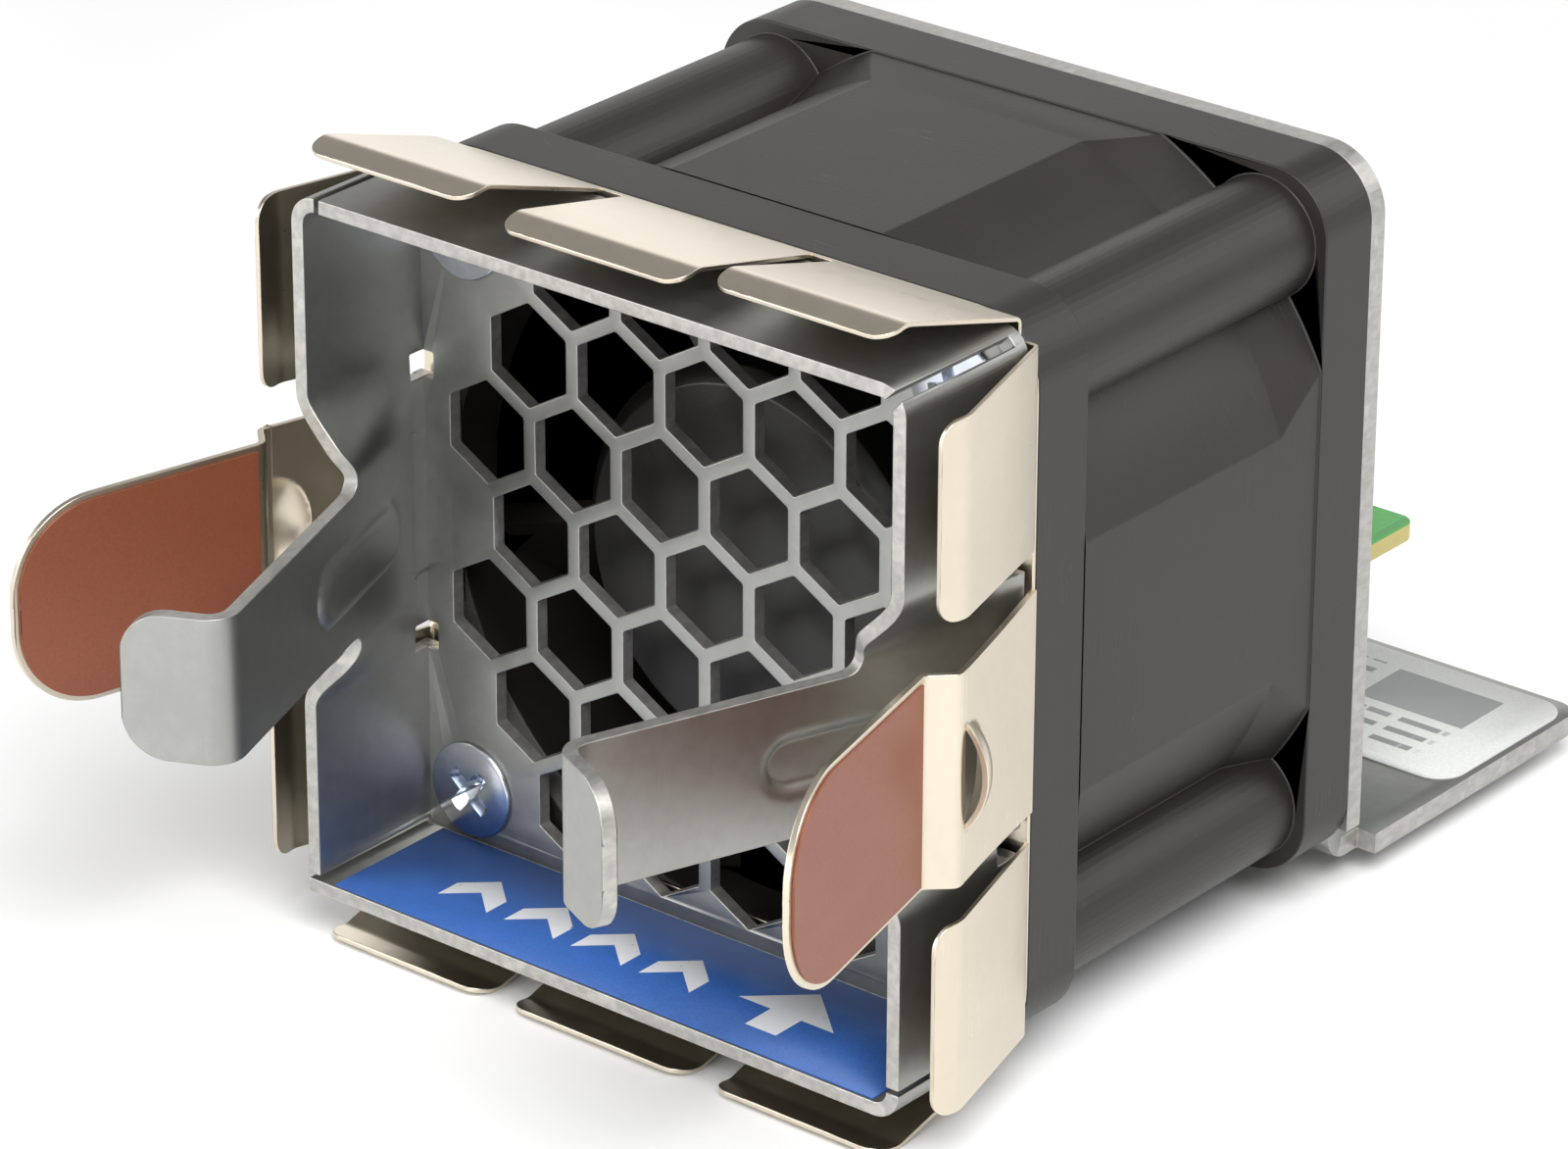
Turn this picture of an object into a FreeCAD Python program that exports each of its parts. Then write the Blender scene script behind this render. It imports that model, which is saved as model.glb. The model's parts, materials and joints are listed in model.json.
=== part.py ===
import FreeCAD, Part
import Sketcher
import math
import os
import re

# Hot-swap cooling module: a 40 mm square tube-axial fan behind a formed sheet-metal
# intake cage with sprung side latches, and a bracket at the rear with the plug-in board.
# Millimetres.  +Y runs from the intake to the rear, +X right, +Z up.  The origin is
# where the rotor's axis crosses the fan's front face.

SIZES = {
    # fan housing
    "fan_size": 40.0, "fan_depth": 28.0, "flange_depth": 4.0, "corner_round": 3.5,
    "hole_margin": 4.0, "hole_bore": 3.4, "tube_over": 1.1, "duct_wall": 1.14,
    "mouth_flare": 0.8, "flat_inset": 0.06, "column_round": 3.3,
    "flare_rise": 1.0, "flare_length": 3.4,
    "strut_width": 1.8, "strut_depth": 3.0, "base_depth": 2.6,
    # rotor
    "hub_diameter": 22.4, "hub_start": 2.0, "hub_length": 22.0, "hub_skin": 1.1,
    "hub_bevel": 0.9, "blade_gap": 0.45, "blade_thick": 1.1, "blade_start": 3.4,
    "blade_length": 19.0, "blade_count": 5.0, "blade_sweep": 6.2, "blade_camber": 1.6,
    "yoke_wall": 0.7, "yoke_length": 19.4, "magnet_wall": 1.3, "magnet_length": 13.0,
    "glue_gap": 0.03, "shaft_diameter": 2.0, "shaft_length": 22.3, "boss_diameter": 4.4,
    "boss_length": 1.1, "clip_thick": 0.3, "clip_diameter": 3.2, "clip_groove": 0.25,
    "spring_thick": 0.25, "spring_clear": 0.1,
    # bearings and stator
    "bearing_outer": 5.0, "bearing_width": 2.5, "bearing_clear": 0.03, "tube_wall": 1.1,
    "tube_start": 7.1, "tube_shoulder": 0.4, "bearing_span": 16.8, "blind_depth": 1.0,
    "air_gap": 0.4, "core_length": 8.0, "core_start": 11.0, "pole_count": 4.0,
    "pole_width": 2.2, "pole_arc": 68.0, "shoe_thick": 0.9, "core_ring": 1.2,
    "coil_share": 0.78, "board_thick": 1.0, "board_edge": 0.7,
    # gasket frame and its spring fingers
    "ring_thick": 0.25, "ring_width": 2.0, "finger_thick": 0.25, "finger_reach": 8.7,
    "finger_rise": 2.35, "lip_reach": 1.7, "lip_drop": 0.35, "finger_round": 1.2,
    "middle_half": 6.0, "outer_near": 7.6, "finger_inset": 1.15, "side_near": 8.0,
    "raised_finger": 0.3, "pressed_finger": 0.55,
    # latch springs and grip films
    "latch_thick": 0.35, "latch_half": 5.75, "latch_rise": 2.7, "latch_reach": 9.7,
    "flange_grip": 2.9, "flex_gap": 0.05, "jog_in": 1.2, "jog_run": 1.1, "paddle_flare": 3.5,
    "paddle_reach": 28.0, "paddle_round": 3.8, "catch_half": 2.9, "catch_depth": 2.3,
    "catch_height": 1.2, "catch_edge": 9.2, "film_thick": 0.12, "film_margin": 0.3,
    # intake cage
    "cage_sheet": 0.8, "cage_inset": 0.2, "cage_depth": 10.2, "cage_round": 1.6,
    "hex_pitch": 5.85, "hex_web": 0.8, "slot_near": 7.0, "slot_far": 8.5,
    "slot_reach": 2.4, "slot_inner": 1.5, "lean_start": 2.0, "lean_in": 3.0,
    "panel_half": 5.0, "arm_half": 4.0, "arm_reach": 25.0, "tab_out": 4.9,
    "tab_run": 2.3, "tab_round": 2.4, "arm_bend": 1.0, "rib_length": 10.0, "rib_width": 3.0,
    "rib_start": 4.7, "rib_height": 0.45, "notch_width": 1.2, "notch_depth": 1.0,
    "seam_width": 0.3, "corner_gap": 0.4, "label_thick": 0.1, "label_margin": 0.15,
    # screws
    "head_diameter": 5.4, "head_height": 1.5, "low_head": 0.4, "screw_diameter": 3.0, "screw_length": 9.0,
    # rear bracket and plug-in board
    "bracket_sheet": 1.2, "air_lap": 0.3, "foot_drop": 0.8,
    "foot_reach": 50.8, "foot_round": 1.5, "bend_round": 0.5, "stem_half": 9.0,
    "card_half": 13.0, "card_thick": 1.0, "card_top": -7.7, "card_start": 29.6,
    "card_end": 44.0, "card_round": 1.0, "tongue_end": 39.0, "relief_width": 1.2, "pad_count": 8.0,
    "pad_pitch": 2.5, "pad_width": 1.4, "pad_length": 4.0, "pad_thick": 0.1,
    "card_screw_pitch": 11.0, "card_screw": 2.0, "card_head": 3.6, "card_head_high": 1.2,
    "card_screw_run": 34.5, "sticker_width": 20.0, "sticker_length": 12.2,
    "sticker_side": 9.6, "sticker_run": 44.1, "sticker_round": 1.8,
}

# sizes that follow the fan's square, so that what bolts together keeps together
MATES = {
    "hole_pitch": "fan_size - 2 * hole_margin",
    "tube_radius": "fan_size / 2 + tube_over",
    "duct_bore": "fan_size - 2 * flat_inset - 2 * duct_wall",
    "air_bore": "fan_size - 2 * flat_inset - 2 * duct_wall - 2 * air_lap",
    "cage_width": "fan_size - 2 * cage_inset",
    "outer_far": "fan_size / 2 - finger_inset",
    "bracket_width": "fan_size",
}

doc = FreeCAD.newDocument("cooling_module")
sheet = doc.addObject("Spreadsheet::Sheet", "Sizes")
for row, (alias, size) in enumerate(SIZES.items(), start=1):
    sheet.set("A%d" % row, alias)
    sheet.set("B%d" % row, str(size))
    sheet.setAlias("B%d" % row, alias)
doc.recompute()

WORD = re.compile(r"[a-z_]+")
V = FreeCAD.Vector
Y_AXIS = V(0, 1, 0)
SIDES = (1, -1)


# ---------------------------------------------------------------- helpers

def bound(text):
    """The formula with each mate spelled out and each alias written as the sheet's cell."""
    text = WORD.sub(lambda w: "(%s)" % MATES.get(w[0], w[0]), str(text))
    return WORD.sub(lambda w: "Sizes." + w[0] if w[0] in SIZES else w[0], text)


def size(text):
    """The formula's present value."""
    return float(sheet.evalExpression(bound(text)))


def body_for(label):
    body = doc.addObject("PartDesign::Body", label)
    body.Label = label
    return body


def origin(body, role):
    return [item for item in body.Origin.OriginFeatures if item.Role == role][0]


def attach(body, name, role, height):
    """An empty sketch on one of the body's own planes, height along the plane's normal."""
    sketch = body.newObject("Sketcher::SketchObject", name)
    sketch.AttachmentSupport = [(origin(body, role), "")]
    sketch.MapMode = "FlatFace"
    sketch.AttachmentOffset = FreeCAD.Placement(V(0, 0, size(height)), FreeCAD.Rotation())
    sketch.setExpression("AttachmentOffset.Base.z", bound(height))
    return sketch


def pin_value(sketch, kind, geometry, corner, formula):
    """Hold one coordinate of a point at a formula measured from the sketch's origin."""
    index = sketch.addConstraint(
        Sketcher.Constraint(kind, -1, 1, geometry, corner, size(formula)))
    sketch.setExpression("Constraints[%d]" % index, bound(formula))


def polygon(sketch, points):
    """A closed outline whose every corner is held by two formulas."""
    first = len(sketch.Geometry)
    values = [V(size(across), size(up), 0) for across, up in points]
    count = len(points)
    for i in range(count):
        sketch.addGeometry(Part.LineSegment(values[i], values[(i + 1) % count]))
    for i in range(count):
        following = first + (i + 1) % count
        sketch.addConstraint(Sketcher.Constraint("Coincident", first + i, 2, following, 1))
    for i, (across, up) in enumerate(points):
        pin_value(sketch, "DistanceX", first + i, 1, across)
        pin_value(sketch, "DistanceY", first + i, 1, up)


def circle(sketch, across, up, radius):
    index = sketch.addGeometry(
        Part.Circle(V(size(across), size(up), 0), V(0, 0, 1), size(radius)))
    pin_value(sketch, "DistanceX", index, 3, across)
    pin_value(sketch, "DistanceY", index, 3, up)
    rule = sketch.addConstraint(Sketcher.Constraint("Radius", index, size(radius)))
    sketch.setExpression("Constraints[%d]" % rule, bound(radius))


def rectangle(half_across, low, high):
    return [("-(%s)" % half_across, low), (half_across, low),
            (half_across, high), ("-(%s)" % half_across, high)]


def block(left, right, low, high):
    return [(left, low), (right, low), (right, high), (left, high)]


def fixed_edges(sketch, edges):
    """Edges already worked out from the sizes, held where they are."""
    for edge in edges:
        index = sketch.addGeometry(edge)
        sketch.addConstraint(Sketcher.Constraint("Block", index))


def draw(sketch, loops):
    for loop in loops:
        if loop[0] == "circle":
            circle(sketch, *loop[1:])
        elif loop[0] == "edges":
            fixed_edges(sketch, loop[1])
        else:
            polygon(sketch, loop)


def prism(body, name, role, low, high, loops, cut=False):
    """Add or cut a straight prism from low to high along the plane's own axis."""
    backwards = role == "XZ_Plane"
    height = "-(%s)" % low if backwards else low
    sketch = attach(body, name + "_sketch", role, height)
    draw(sketch, loops)
    feature = body.newObject("PartDesign::Pocket" if cut else "PartDesign::Pad", name)
    feature.Profile = sketch
    feature.Length = size("(%s) - (%s)" % (high, low))
    feature.setExpression("Length", bound("(%s) - (%s)" % (high, low)))
    feature.Reversed = backwards != cut
    return feature


def turned(body, name, points, cut=False):
    """A ring or disc turned about the rotor's axis from (radius, y) corners."""
    sketch = attach(body, name + "_sketch", "XY_Plane", "0")
    polygon(sketch, points)
    feature = body.newObject("PartDesign::Groove" if cut else "PartDesign::Revolution", name)
    feature.Profile = sketch
    feature.ReferenceAxis = (sketch, ["V_Axis"])
    feature.Angle = 360
    return feature


def pattern_round(body, name, feature, count):
    pattern = body.newObject("PartDesign::PolarPattern", name)
    pattern.Originals = [feature]
    pattern.Axis = (origin(body, "Y_Axis"), [""])
    pattern.Angle = 360
    pattern.Occurrences = int(size(count))
    pattern.setExpression("Occurrences", bound(count))
    body.Tip = pattern
    return pattern


def pattern_line(body, name, feature, role, length, count):
    pattern = body.newObject("PartDesign::LinearPattern", name)
    pattern.Originals = [feature]
    pattern.Direction = (origin(body, role), [""])
    pattern.Length = size(length)
    pattern.setExpression("Length", bound(length))
    pattern.Occurrences = count
    body.Tip = pattern
    return pattern


def mirrored(body, name, features, role):
    pattern = body.newObject("PartDesign::Mirrored", name)
    pattern.Originals = features
    pattern.MirrorPlane = (origin(body, role), [""])
    body.Tip = pattern
    return pattern


def rounded(body, name, radius, wanted):
    """Fillet the edges for which wanted(start, end, length) holds."""
    doc.recompute()
    base = body.Tip
    names = []
    for i, edge in enumerate(base.Shape.Edges, start=1):
        ends = edge.Vertexes
        if len(ends) == 2 and wanted(ends[0].Point, ends[1].Point, edge.Length):
            names.append("Edge%d" % i)
    fillet = body.newObject("PartDesign::Fillet", name)
    fillet.Base = (base, names)
    fillet.Radius = size(radius)
    fillet.setExpression("Radius", bound(radius))
    return fillet


def near(value, target):
    return abs(value - target) < 0.01


def along_y(start, end):
    return near(start.x, end.x) and near(start.z, end.z)


def strip_outline(points, thick):
    """Both faces of a bent strip: each corner of the centre line is offset by half the
    thickness along the bisector of its two runs."""
    count = len(points)
    runs = [(points[i + 1] - points[i]).normalize() for i in range(count - 1)]
    sides = [V(-run.y, run.x, 0) for run in runs]
    left, right = [], []
    for i, point in enumerate(points):
        before = sides[max(i - 1, 0)]
        after = sides[min(i, count - 2)]
        step = (before + after) * (thick / 2 / (1 + before.dot(after)))
        left.append(point + step)
        right.append(point - step)
    return left + right[::-1]


def closed_lines(points):
    count = len(points)
    return [Part.LineSegment(points[i], points[(i + 1) % count]) for i in range(count)]


def feature_for(label, shape):
    item = doc.addObject("Part::Feature", label)
    item.Label = label
    item.Shape = shape
    item.Placement = shape.Placement
    return item


parts = []


# ---------------------------------------------------------------- fan housing

def make_fan_housing():
    body = body_for("fan_housing")
    half = "fan_size / 2"
    square = rectangle(half, "-" + half, half)
    prism(body, "front_flange", "XZ_Plane", "0", "flange_depth", [square])
    prism(body, "rear_flange", "XZ_Plane", "fan_depth - flange_depth", "fan_depth", [square])
    edge = size(half)
    rounded(body, "flange_corners", "corner_round",
            lambda a, b, run: along_y(a, b) and near(abs(a.x), edge) and near(abs(a.z), edge))
    # the tube is wider than the square: it flares at the rear and is cut off by four flats
    rear = "fan_depth - flange_depth"
    turned(body, "tube", [("0", "flange_depth"), ("tube_radius", "flange_depth"),
                          ("tube_radius", rear + " - flare_length"),
                          ("tube_radius + flare_rise", rear), ("0", rear)])
    flat = prism(body, "flat", "XZ_Plane", "flange_depth", rear,
                 [block("-fan_size", "fan_size", "fan_size / 2 - flat_inset", "fan_size")],
                 cut=True)
    pattern_round(body, "flats", flat, "4")
    column = prism(body, "column", "XZ_Plane", "flange_depth", rear,
                   [("circle", "hole_pitch / 2", "hole_pitch / 2", "column_round")])
    pattern_round(body, "columns", column, "4")
    turned(body, "duct", [("0", "-1"), ("duct_bore / 2", "-1"),
                          ("duct_bore / 2", "fan_depth + 1"), ("0", "fan_depth + 1")], cut=True)
    doc.recompute()
    mouth = size("duct_bore / 2")
    base = body.Tip
    names = ["Edge%d" % i for i, edge in enumerate(base.Shape.Edges, start=1)
             if len(edge.Vertexes) == 1 and near(edge.Vertexes[0].Y, 0)
             and near(math.hypot(edge.Vertexes[0].X, edge.Vertexes[0].Z), mouth)]
    lip = body.newObject("PartDesign::Chamfer", "mouth")
    lip.Base = (base, names)
    lip.Size = size("mouth_flare")
    lip.setExpression("Size", bound("mouth_flare"))
    # motor base, its blind seat for the bearing tube, and four struts to the rear flange
    inside = "fan_depth - base_depth"
    strut = prism(body, "strut", "XZ_Plane", "fan_depth - strut_depth", "fan_depth",
                  [rectangle("strut_width / 2", "hub_diameter / 2 - board_edge / 2",
                             "duct_bore / 2 + 0.3")])
    pattern_round(body, "struts", strut, "4")
    turned(body, "motor_base", [("0", inside), ("hub_diameter / 2", inside),
                                ("hub_diameter / 2", "fan_depth"), ("0", "fan_depth")])
    seat = "bearing_outer / 2 + tube_wall + glue_gap"
    turned(body, "tube_seat", [("0", "fan_depth - strut_depth - 1"),
                               (seat, "fan_depth - strut_depth - 1"),
                               (seat, "fan_depth - blind_depth"),
                               ("0", "fan_depth - blind_depth")], cut=True)
    hole = prism(body, "screw_hole", "XZ_Plane", "-1", "fan_depth + 1",
                 [("circle", "hole_pitch / 2", "hole_pitch / 2", "hole_bore / 2")], cut=True)
    pattern_round(body, "screw_holes", hole, "4")
    parts.append(body)


# ---------------------------------------------------------------- rotor

def blade_section(radius, lean):
    """A cambered strip at one radius: two arcs through the leading edge, the middle and
    the trailing edge, half the blade's thickness either side of the camber line."""
    start = size("blade_start")
    length = size("blade_length")
    sweep = size("blade_sweep") * lean
    camber = size("blade_camber")
    half = size("blade_thick") / 2
    nose = V(radius, start, -sweep)
    tail = V(radius, start + length, sweep)
    chord = (tail - nose).normalize()
    across = V(0, -chord.z, chord.y)
    middle = (nose + tail) / 2 + across * camber
    up = across * half
    return Part.Wire([
        Part.Arc(nose + up, middle + up, tail + up).toShape(),
        Part.makeLine(tail + up, tail - up),
        Part.Arc(tail - up, middle - up, nose - up).toShape(),
        Part.makeLine(nose - up, nose + up)])


def make_impeller():
    """Moulded hub cup with twisted, cambered blades trimmed to the duct's running gap."""
    hub_radius = size("hub_diameter / 2")
    front = size("hub_start")
    hub = Part.makeCylinder(hub_radius, size("hub_length"), V(0, front, 0), Y_AXIS)
    rim = [edge for edge in hub.Edges if near(edge.BoundBox.YMax, front)]
    hub = hub.makeChamfer(size("hub_bevel"), rim)
    tip = size("duct_bore / 2 - blade_gap")
    blade = Part.makeLoft([blade_section(hub_radius - 3, 0.75),
                           blade_section(tip + 0.9, 1.0)], True, True)
    blade = blade.common(Part.makeCylinder(tip, size("fan_depth"), V(0, 0, 0), Y_AXIS))
    blades = []
    count = int(size("blade_count"))
    for i in range(count):
        copy = blade.copy()
        copy.rotate(V(0, 0, 0), Y_AXIS, 360.0 / count * i + 10)
        blades.append(copy)
    cavity = Part.makeCylinder(hub_radius - size("hub_skin"), size("fan_depth"),
                               V(0, front + size("hub_skin"), 0), Y_AXIS)
    wheel = hub.fuse(blades).cut(cavity)
    parts.append(feature_for("impeller", wheel))


YOKE_OUTER = "hub_diameter / 2 - hub_skin - glue_gap"
YOKE_FRONT = "hub_start + hub_skin"


def make_rotor_metal():
    yoke = body_for("rotor_yoke")
    inner = YOKE_OUTER + " - yoke_wall"
    back = YOKE_FRONT + " + yoke_length"
    disc = YOKE_FRONT + " + yoke_wall"
    turned(yoke, "cup", [
        ("shaft_diameter / 2", YOKE_FRONT), (YOKE_OUTER, YOKE_FRONT), (YOKE_OUTER, back),
        (inner, back), (inner, disc), ("boss_diameter / 2", disc),
        ("boss_diameter / 2", disc + " + boss_length"),
        ("shaft_diameter / 2", disc + " + boss_length")])
    parts.append(yoke)

    magnet = body_for("rotor_magnet")
    outside = inner + " - glue_gap"
    bore = outside + " - magnet_wall"
    front = back + " - 0.4 - magnet_length"
    turned(magnet, "ring", [(bore, front), (outside, front),
                            (outside, back + " - 0.4"), (bore, back + " - 0.4")])
    parts.append(magnet)

    shaft = body_for("shaft")
    end = YOKE_FRONT + " + shaft_length"
    radius = "shaft_diameter / 2"
    neck = radius + " - clip_groove"
    turned(shaft, "pin", [("0", YOKE_FRONT), (radius, YOKE_FRONT), (radius, CLIP_FRONT),
                          (neck, CLIP_FRONT), (neck, CLIP_FRONT + " + clip_thick"),
                          (radius, CLIP_FRONT + " + clip_thick"),
                          (radius, end + " - 0.2"), (radius + " - 0.2", end), ("0", end)])
    parts.append(shaft)

    clip = body_for("retaining_clip")
    low = CLIP_FRONT
    high = CLIP_FRONT + " + clip_thick"
    turned(clip, "washer", [(neck, low), ("clip_diameter / 2", low),
                            ("clip_diameter / 2", high), (neck, high)])
    prism(clip, "mouth", "XZ_Plane", low + " - 0.1", high + " + 0.1",
          [block("-0.4", "0.4", "0.3", "clip_diameter")], cut=True)
    parts.append(clip)


FRONT_BEARING = "tube_start + 0.1"
REAR_BEARING = "tube_start + 0.1 + bearing_span - bearing_width"
CLIP_FRONT = "tube_start + 0.1 + bearing_span + 0.08"


def make_bearings():
    bore = "shaft_diameter / 2 + bearing_clear"
    outside = "bearing_outer / 2 - glue_gap / 2"
    for label, start in (("front_bearing", FRONT_BEARING), ("rear_bearing", REAR_BEARING)):
        body = body_for(label)
        end = start + " + bearing_width"
        turned(body, "ring", [(bore, start), (outside, start), (outside, end), (bore, end)])
        parts.append(body)

    tube = body_for("bearing_tube")
    inner = "bearing_outer / 2"
    outer = "bearing_outer / 2 + tube_wall"
    throat = "bearing_outer / 2 - tube_shoulder"
    end = "fan_depth - blind_depth"
    first = FRONT_BEARING + " + bearing_width"
    turned(tube, "sleeve", [
        (inner, "tube_start"), (outer, "tube_start"), (outer, end), (inner, end),
        (inner, REAR_BEARING), (throat, REAR_BEARING), (throat, first), (inner, first)])
    parts.append(tube)


def make_preload_spring():
    """Cone washer between the yoke's boss and the front bearing's inner race."""
    body = body_for("preload_spring")
    near_bore = "shaft_diameter / 2 + spring_clear"
    far_bore = "boss_diameter / 2 - spring_clear"
    low = YOKE_FRONT + " + yoke_wall + boss_length"
    high = FRONT_BEARING + " - spring_clear"
    turned(body, "cone", [(far_bore, low), (far_bore + " + spring_thick", low),
                          (near_bore + " + spring_thick", high), (near_bore, high)])
    parts.append(body)


# ---------------------------------------------------------------- stator

CORE_OUTER = (YOKE_OUTER + " - yoke_wall - glue_gap - magnet_wall - air_gap")


def make_stator():
    core = body_for("stator_core")
    low = "core_start"
    high = "core_start + core_length"
    bore = "bearing_outer / 2 + tube_wall + glue_gap"
    ring = bore + " + core_ring"
    shoe_in = CORE_OUTER + " - shoe_thick"
    prism(core, "hub_ring", "XZ_Plane", low, high,
          [("circle", "0", "0", ring), ("circle", "0", "0", bore)])
    pole = prism(core, "pole", "XZ_Plane", low, high,
                 [rectangle("pole_width / 2", ring + " - 0.3", shoe_in + " + 0.3")])
    pattern_round(core, "poles", pole, "pole_count")
    half = math.radians(size("pole_arc") / 2)
    r_in = size(shoe_in)
    r_out = size(CORE_OUTER)

    def at(radius, angle):
        return V(radius * math.sin(angle), radius * math.cos(angle), 0)

    arc_out = Part.Arc(at(r_out, -half), at(r_out, 0), at(r_out, half))
    arc_in = Part.Arc(at(r_in, half), at(r_in, 0), at(r_in, -half))
    shoe_edges = [arc_out, Part.LineSegment(at(r_out, half), at(r_in, half)),
                  arc_in, Part.LineSegment(at(r_in, -half), at(r_out, -half))]
    shoe = prism(core, "shoe", "XZ_Plane", low, high, [("edges", shoe_edges)])
    pattern_round(core, "shoes", shoe, "pole_count")
    parts.append(core)

    coils = []
    gap = size("glue_gap")
    build = (r_in - size(ring)) * size("coil_share")
    wide = size("pole_width")
    inner = size(ring) + 0.1
    outer = math.sqrt((r_in - 0.1) ** 2 - (wide / 2 + build) ** 2)
    start = size(low)
    end = size(high)
    for i in range(int(size("pole_count"))):
        outside = Part.makeBox(wide + 2 * build, end - start + 2 * build, outer - inner,
                               V(-wide / 2 - build, start - build, inner))
        window = Part.makeBox(wide + 2 * gap, end - start + 2 * gap, outer - inner + 1,
                              V(-wide / 2 - gap, start - gap, inner - 0.5))
        corners = [edge for edge in outside.Edges
                   if near(edge.Vertexes[0].X, edge.Vertexes[1].X)
                   and near(edge.Vertexes[0].Y, edge.Vertexes[1].Y)]
        coil = outside.makeFillet(build * 0.6, corners).cut(window)
        coil.rotate(V(0, 0, 0), Y_AXIS, 360.0 / size("pole_count") * i)
        coils.append(coil)
    parts.append(feature_for("stator_coils", Part.makeCompound(coils)))

    board = body_for("motor_board")
    rear = "fan_depth - base_depth"
    prism(board, "disc", "XZ_Plane", rear + " - board_thick", rear,
          [("circle", "0", "0", "hub_diameter / 2 - board_edge"),
           ("circle", "0", "0", "bearing_outer / 2 + tube_wall + glue_gap")])
    parts.append(board)


# ---------------------------------------------------------------- gasket frame

FINGERS = (
    # side as a turn about the rotor's axis, near and far edge, extra rise
    (0, "-middle_half", "middle_half", "-pressed_finger"),
    (0, "outer_near", "outer_far", "0"),
    (0, "-outer_far", "-outer_near", "raised_finger"),
    (90, "side_near", "outer_far", "0"),
    (90, "-outer_far", "-side_near", "0"),
    (180, "-middle_half", "middle_half", "0"),
    (180, "outer_near", "outer_far", "0"),
    (180, "-outer_far", "-outer_near", "0"),
    (270, "side_near", "outer_far", "0"),
    (270, "-outer_far", "-side_near", "0"),
)


def finger(low, high, extra):
    """One spring finger on the top edge: a strip that stands up from the ring, leans
    out over its reach and turns back in at a short lip, with round tip corners."""
    thick = size("finger_thick")
    edge = size("fan_size / 2")
    rise = size("finger_rise") + size(extra)
    reach = size("finger_reach")
    centre = [V(-thick / 2, edge - 1.0, 0), V(-thick / 2, edge - 0.1, 0),
              V(-reach, edge + rise, 0),
              V(-reach - size("lip_reach"), edge + rise - size("lip_drop"), 0)]
    face = Part.Face(Part.Wire(Part.makePolygon(
        [V(size(low), p.x, p.y) for p in strip_outline(centre, thick)]
        + [V(size(low), *strip_outline(centre, thick)[0][:2])])))
    solid = face.extrude(V(size(high) - size(low), 0, 0))
    tip = -reach - size("lip_reach") + thick
    corners = [edge_ for edge_ in solid.Edges
               if near(edge_.Length, thick) and edge_.CenterOfMass.y < tip]
    return solid.makeFillet(size("finger_round"), corners)


def make_finger_frame():
    ring_half = size("fan_size / 2")
    inner = ring_half - size("ring_width")
    thick = size("ring_thick")
    ring = Part.makeBox(2 * ring_half, thick, 2 * ring_half, V(-ring_half, -thick, -ring_half))
    corners = [edge for edge in ring.Edges if along_y(edge.Vertexes[0].Point,
                                                      edge.Vertexes[1].Point)]
    ring = ring.makeFillet(size("corner_round"), corners)
    window = Part.makeBox(2 * inner, 3 * thick, 2 * inner, V(-inner, -2 * thick, -inner))
    corners = [edge for edge in window.Edges if along_y(edge.Vertexes[0].Point,
                                                        edge.Vertexes[1].Point)]
    ring = ring.cut(window.makeFillet(size("corner_round"), corners))
    offset = size("hole_pitch / 2")
    for across in SIDES:
        for up in SIDES:
            pad = Part.makeCylinder(size("head_diameter / 2") + 0.6, thick,
                                    V(across * offset, -thick, up * offset), Y_AXIS)
            ring = ring.fuse(pad)
    for turn, low, high, extra in FINGERS:
        spring = finger(low, high, extra)
        spring.rotate(V(0, 0, 0), Y_AXIS, turn)
        ring = ring.fuse(spring)
    for across in SIDES:
        for up in SIDES:
            hole = Part.makeCylinder(size("hole_bore / 2"), 3,
                                     V(across * offset, -2, up * offset), Y_AXIS)
            ring = ring.cut(hole)
    parts.append(feature_for("finger_frame", ring.removeSplitter()))


# ---------------------------------------------------------------- latch springs

LATCH_LAYER = "ring_thick + latch_thick / 2"


def latch_points():
    """Centre line of the right latch seen from above: clamped flange, leaf that leans
    out, jog back in behind the catch, and the paddle that flares out to its tip."""
    edge = size("fan_size / 2") + 0.2
    layer = size(LATCH_LAYER)
    crest = V(edge + size("latch_rise"), -size("latch_reach"), 0)
    jog = crest + V(-size("jog_in"), -size("jog_run"), 0)
    tip = V(jog.x + size("paddle_flare"), -size("paddle_reach"), 0)
    return [V(edge - size("flange_grip"), -layer, 0), V(edge, -layer, 0), crest, jog, tip]


def catch_dome(points, shrink):
    """The lanced catch: a cap of a ring turned about an upright line under the leaf,
    kept behind the cut edge and outside the leaf's face."""
    root, crest = points[1], points[2]
    run = (crest - root).normalize()
    out = V(-run.y, run.x, 0)
    if out.x < 0:
        out = out * -1
    deep = size("catch_depth")
    high = size("catch_height")
    ring = (high * high + deep * deep) / (2 * high)
    share = (size("catch_edge") + root.y) / (root.y - crest.y)
    cut_point = root + (crest - root) * share
    centre = cut_point - out * (ring - high)
    half = size("catch_half") - shrink
    crown = ring - shrink
    rim = crown - high
    arc = Part.Arc(centre + out * rim + V(0, 0, -half), centre + out * crown,
                   centre + out * rim + V(0, 0, half)).toShape()
    sides = Part.makePolygon([centre + out * rim + V(0, 0, half), centre + V(0, 0, half),
                              centre + V(0, 0, -half), centre + out * rim + V(0, 0, -half)])
    lens = Part.Face(Part.Wire([arc] + sides.Edges))
    dome = lens.revolve(centre, V(0, 0, 1), -100)
    if dome.CenterOfMass.y < cut_point.y:
        dome = lens.revolve(centre, V(0, 0, 1), 100)
    return dome, cut_point, out


def bent_strip(points):
    """The strip that follows the given centre line, as wide as the latch."""
    half = size("latch_half")
    outline = strip_outline(points, size("latch_thick"))
    loop = [V(p.x, p.y, -half) for p in outline]
    return Part.Face(Part.makePolygon(loop + loop[:1])).extrude(V(0, 0, 2 * half))


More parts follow.
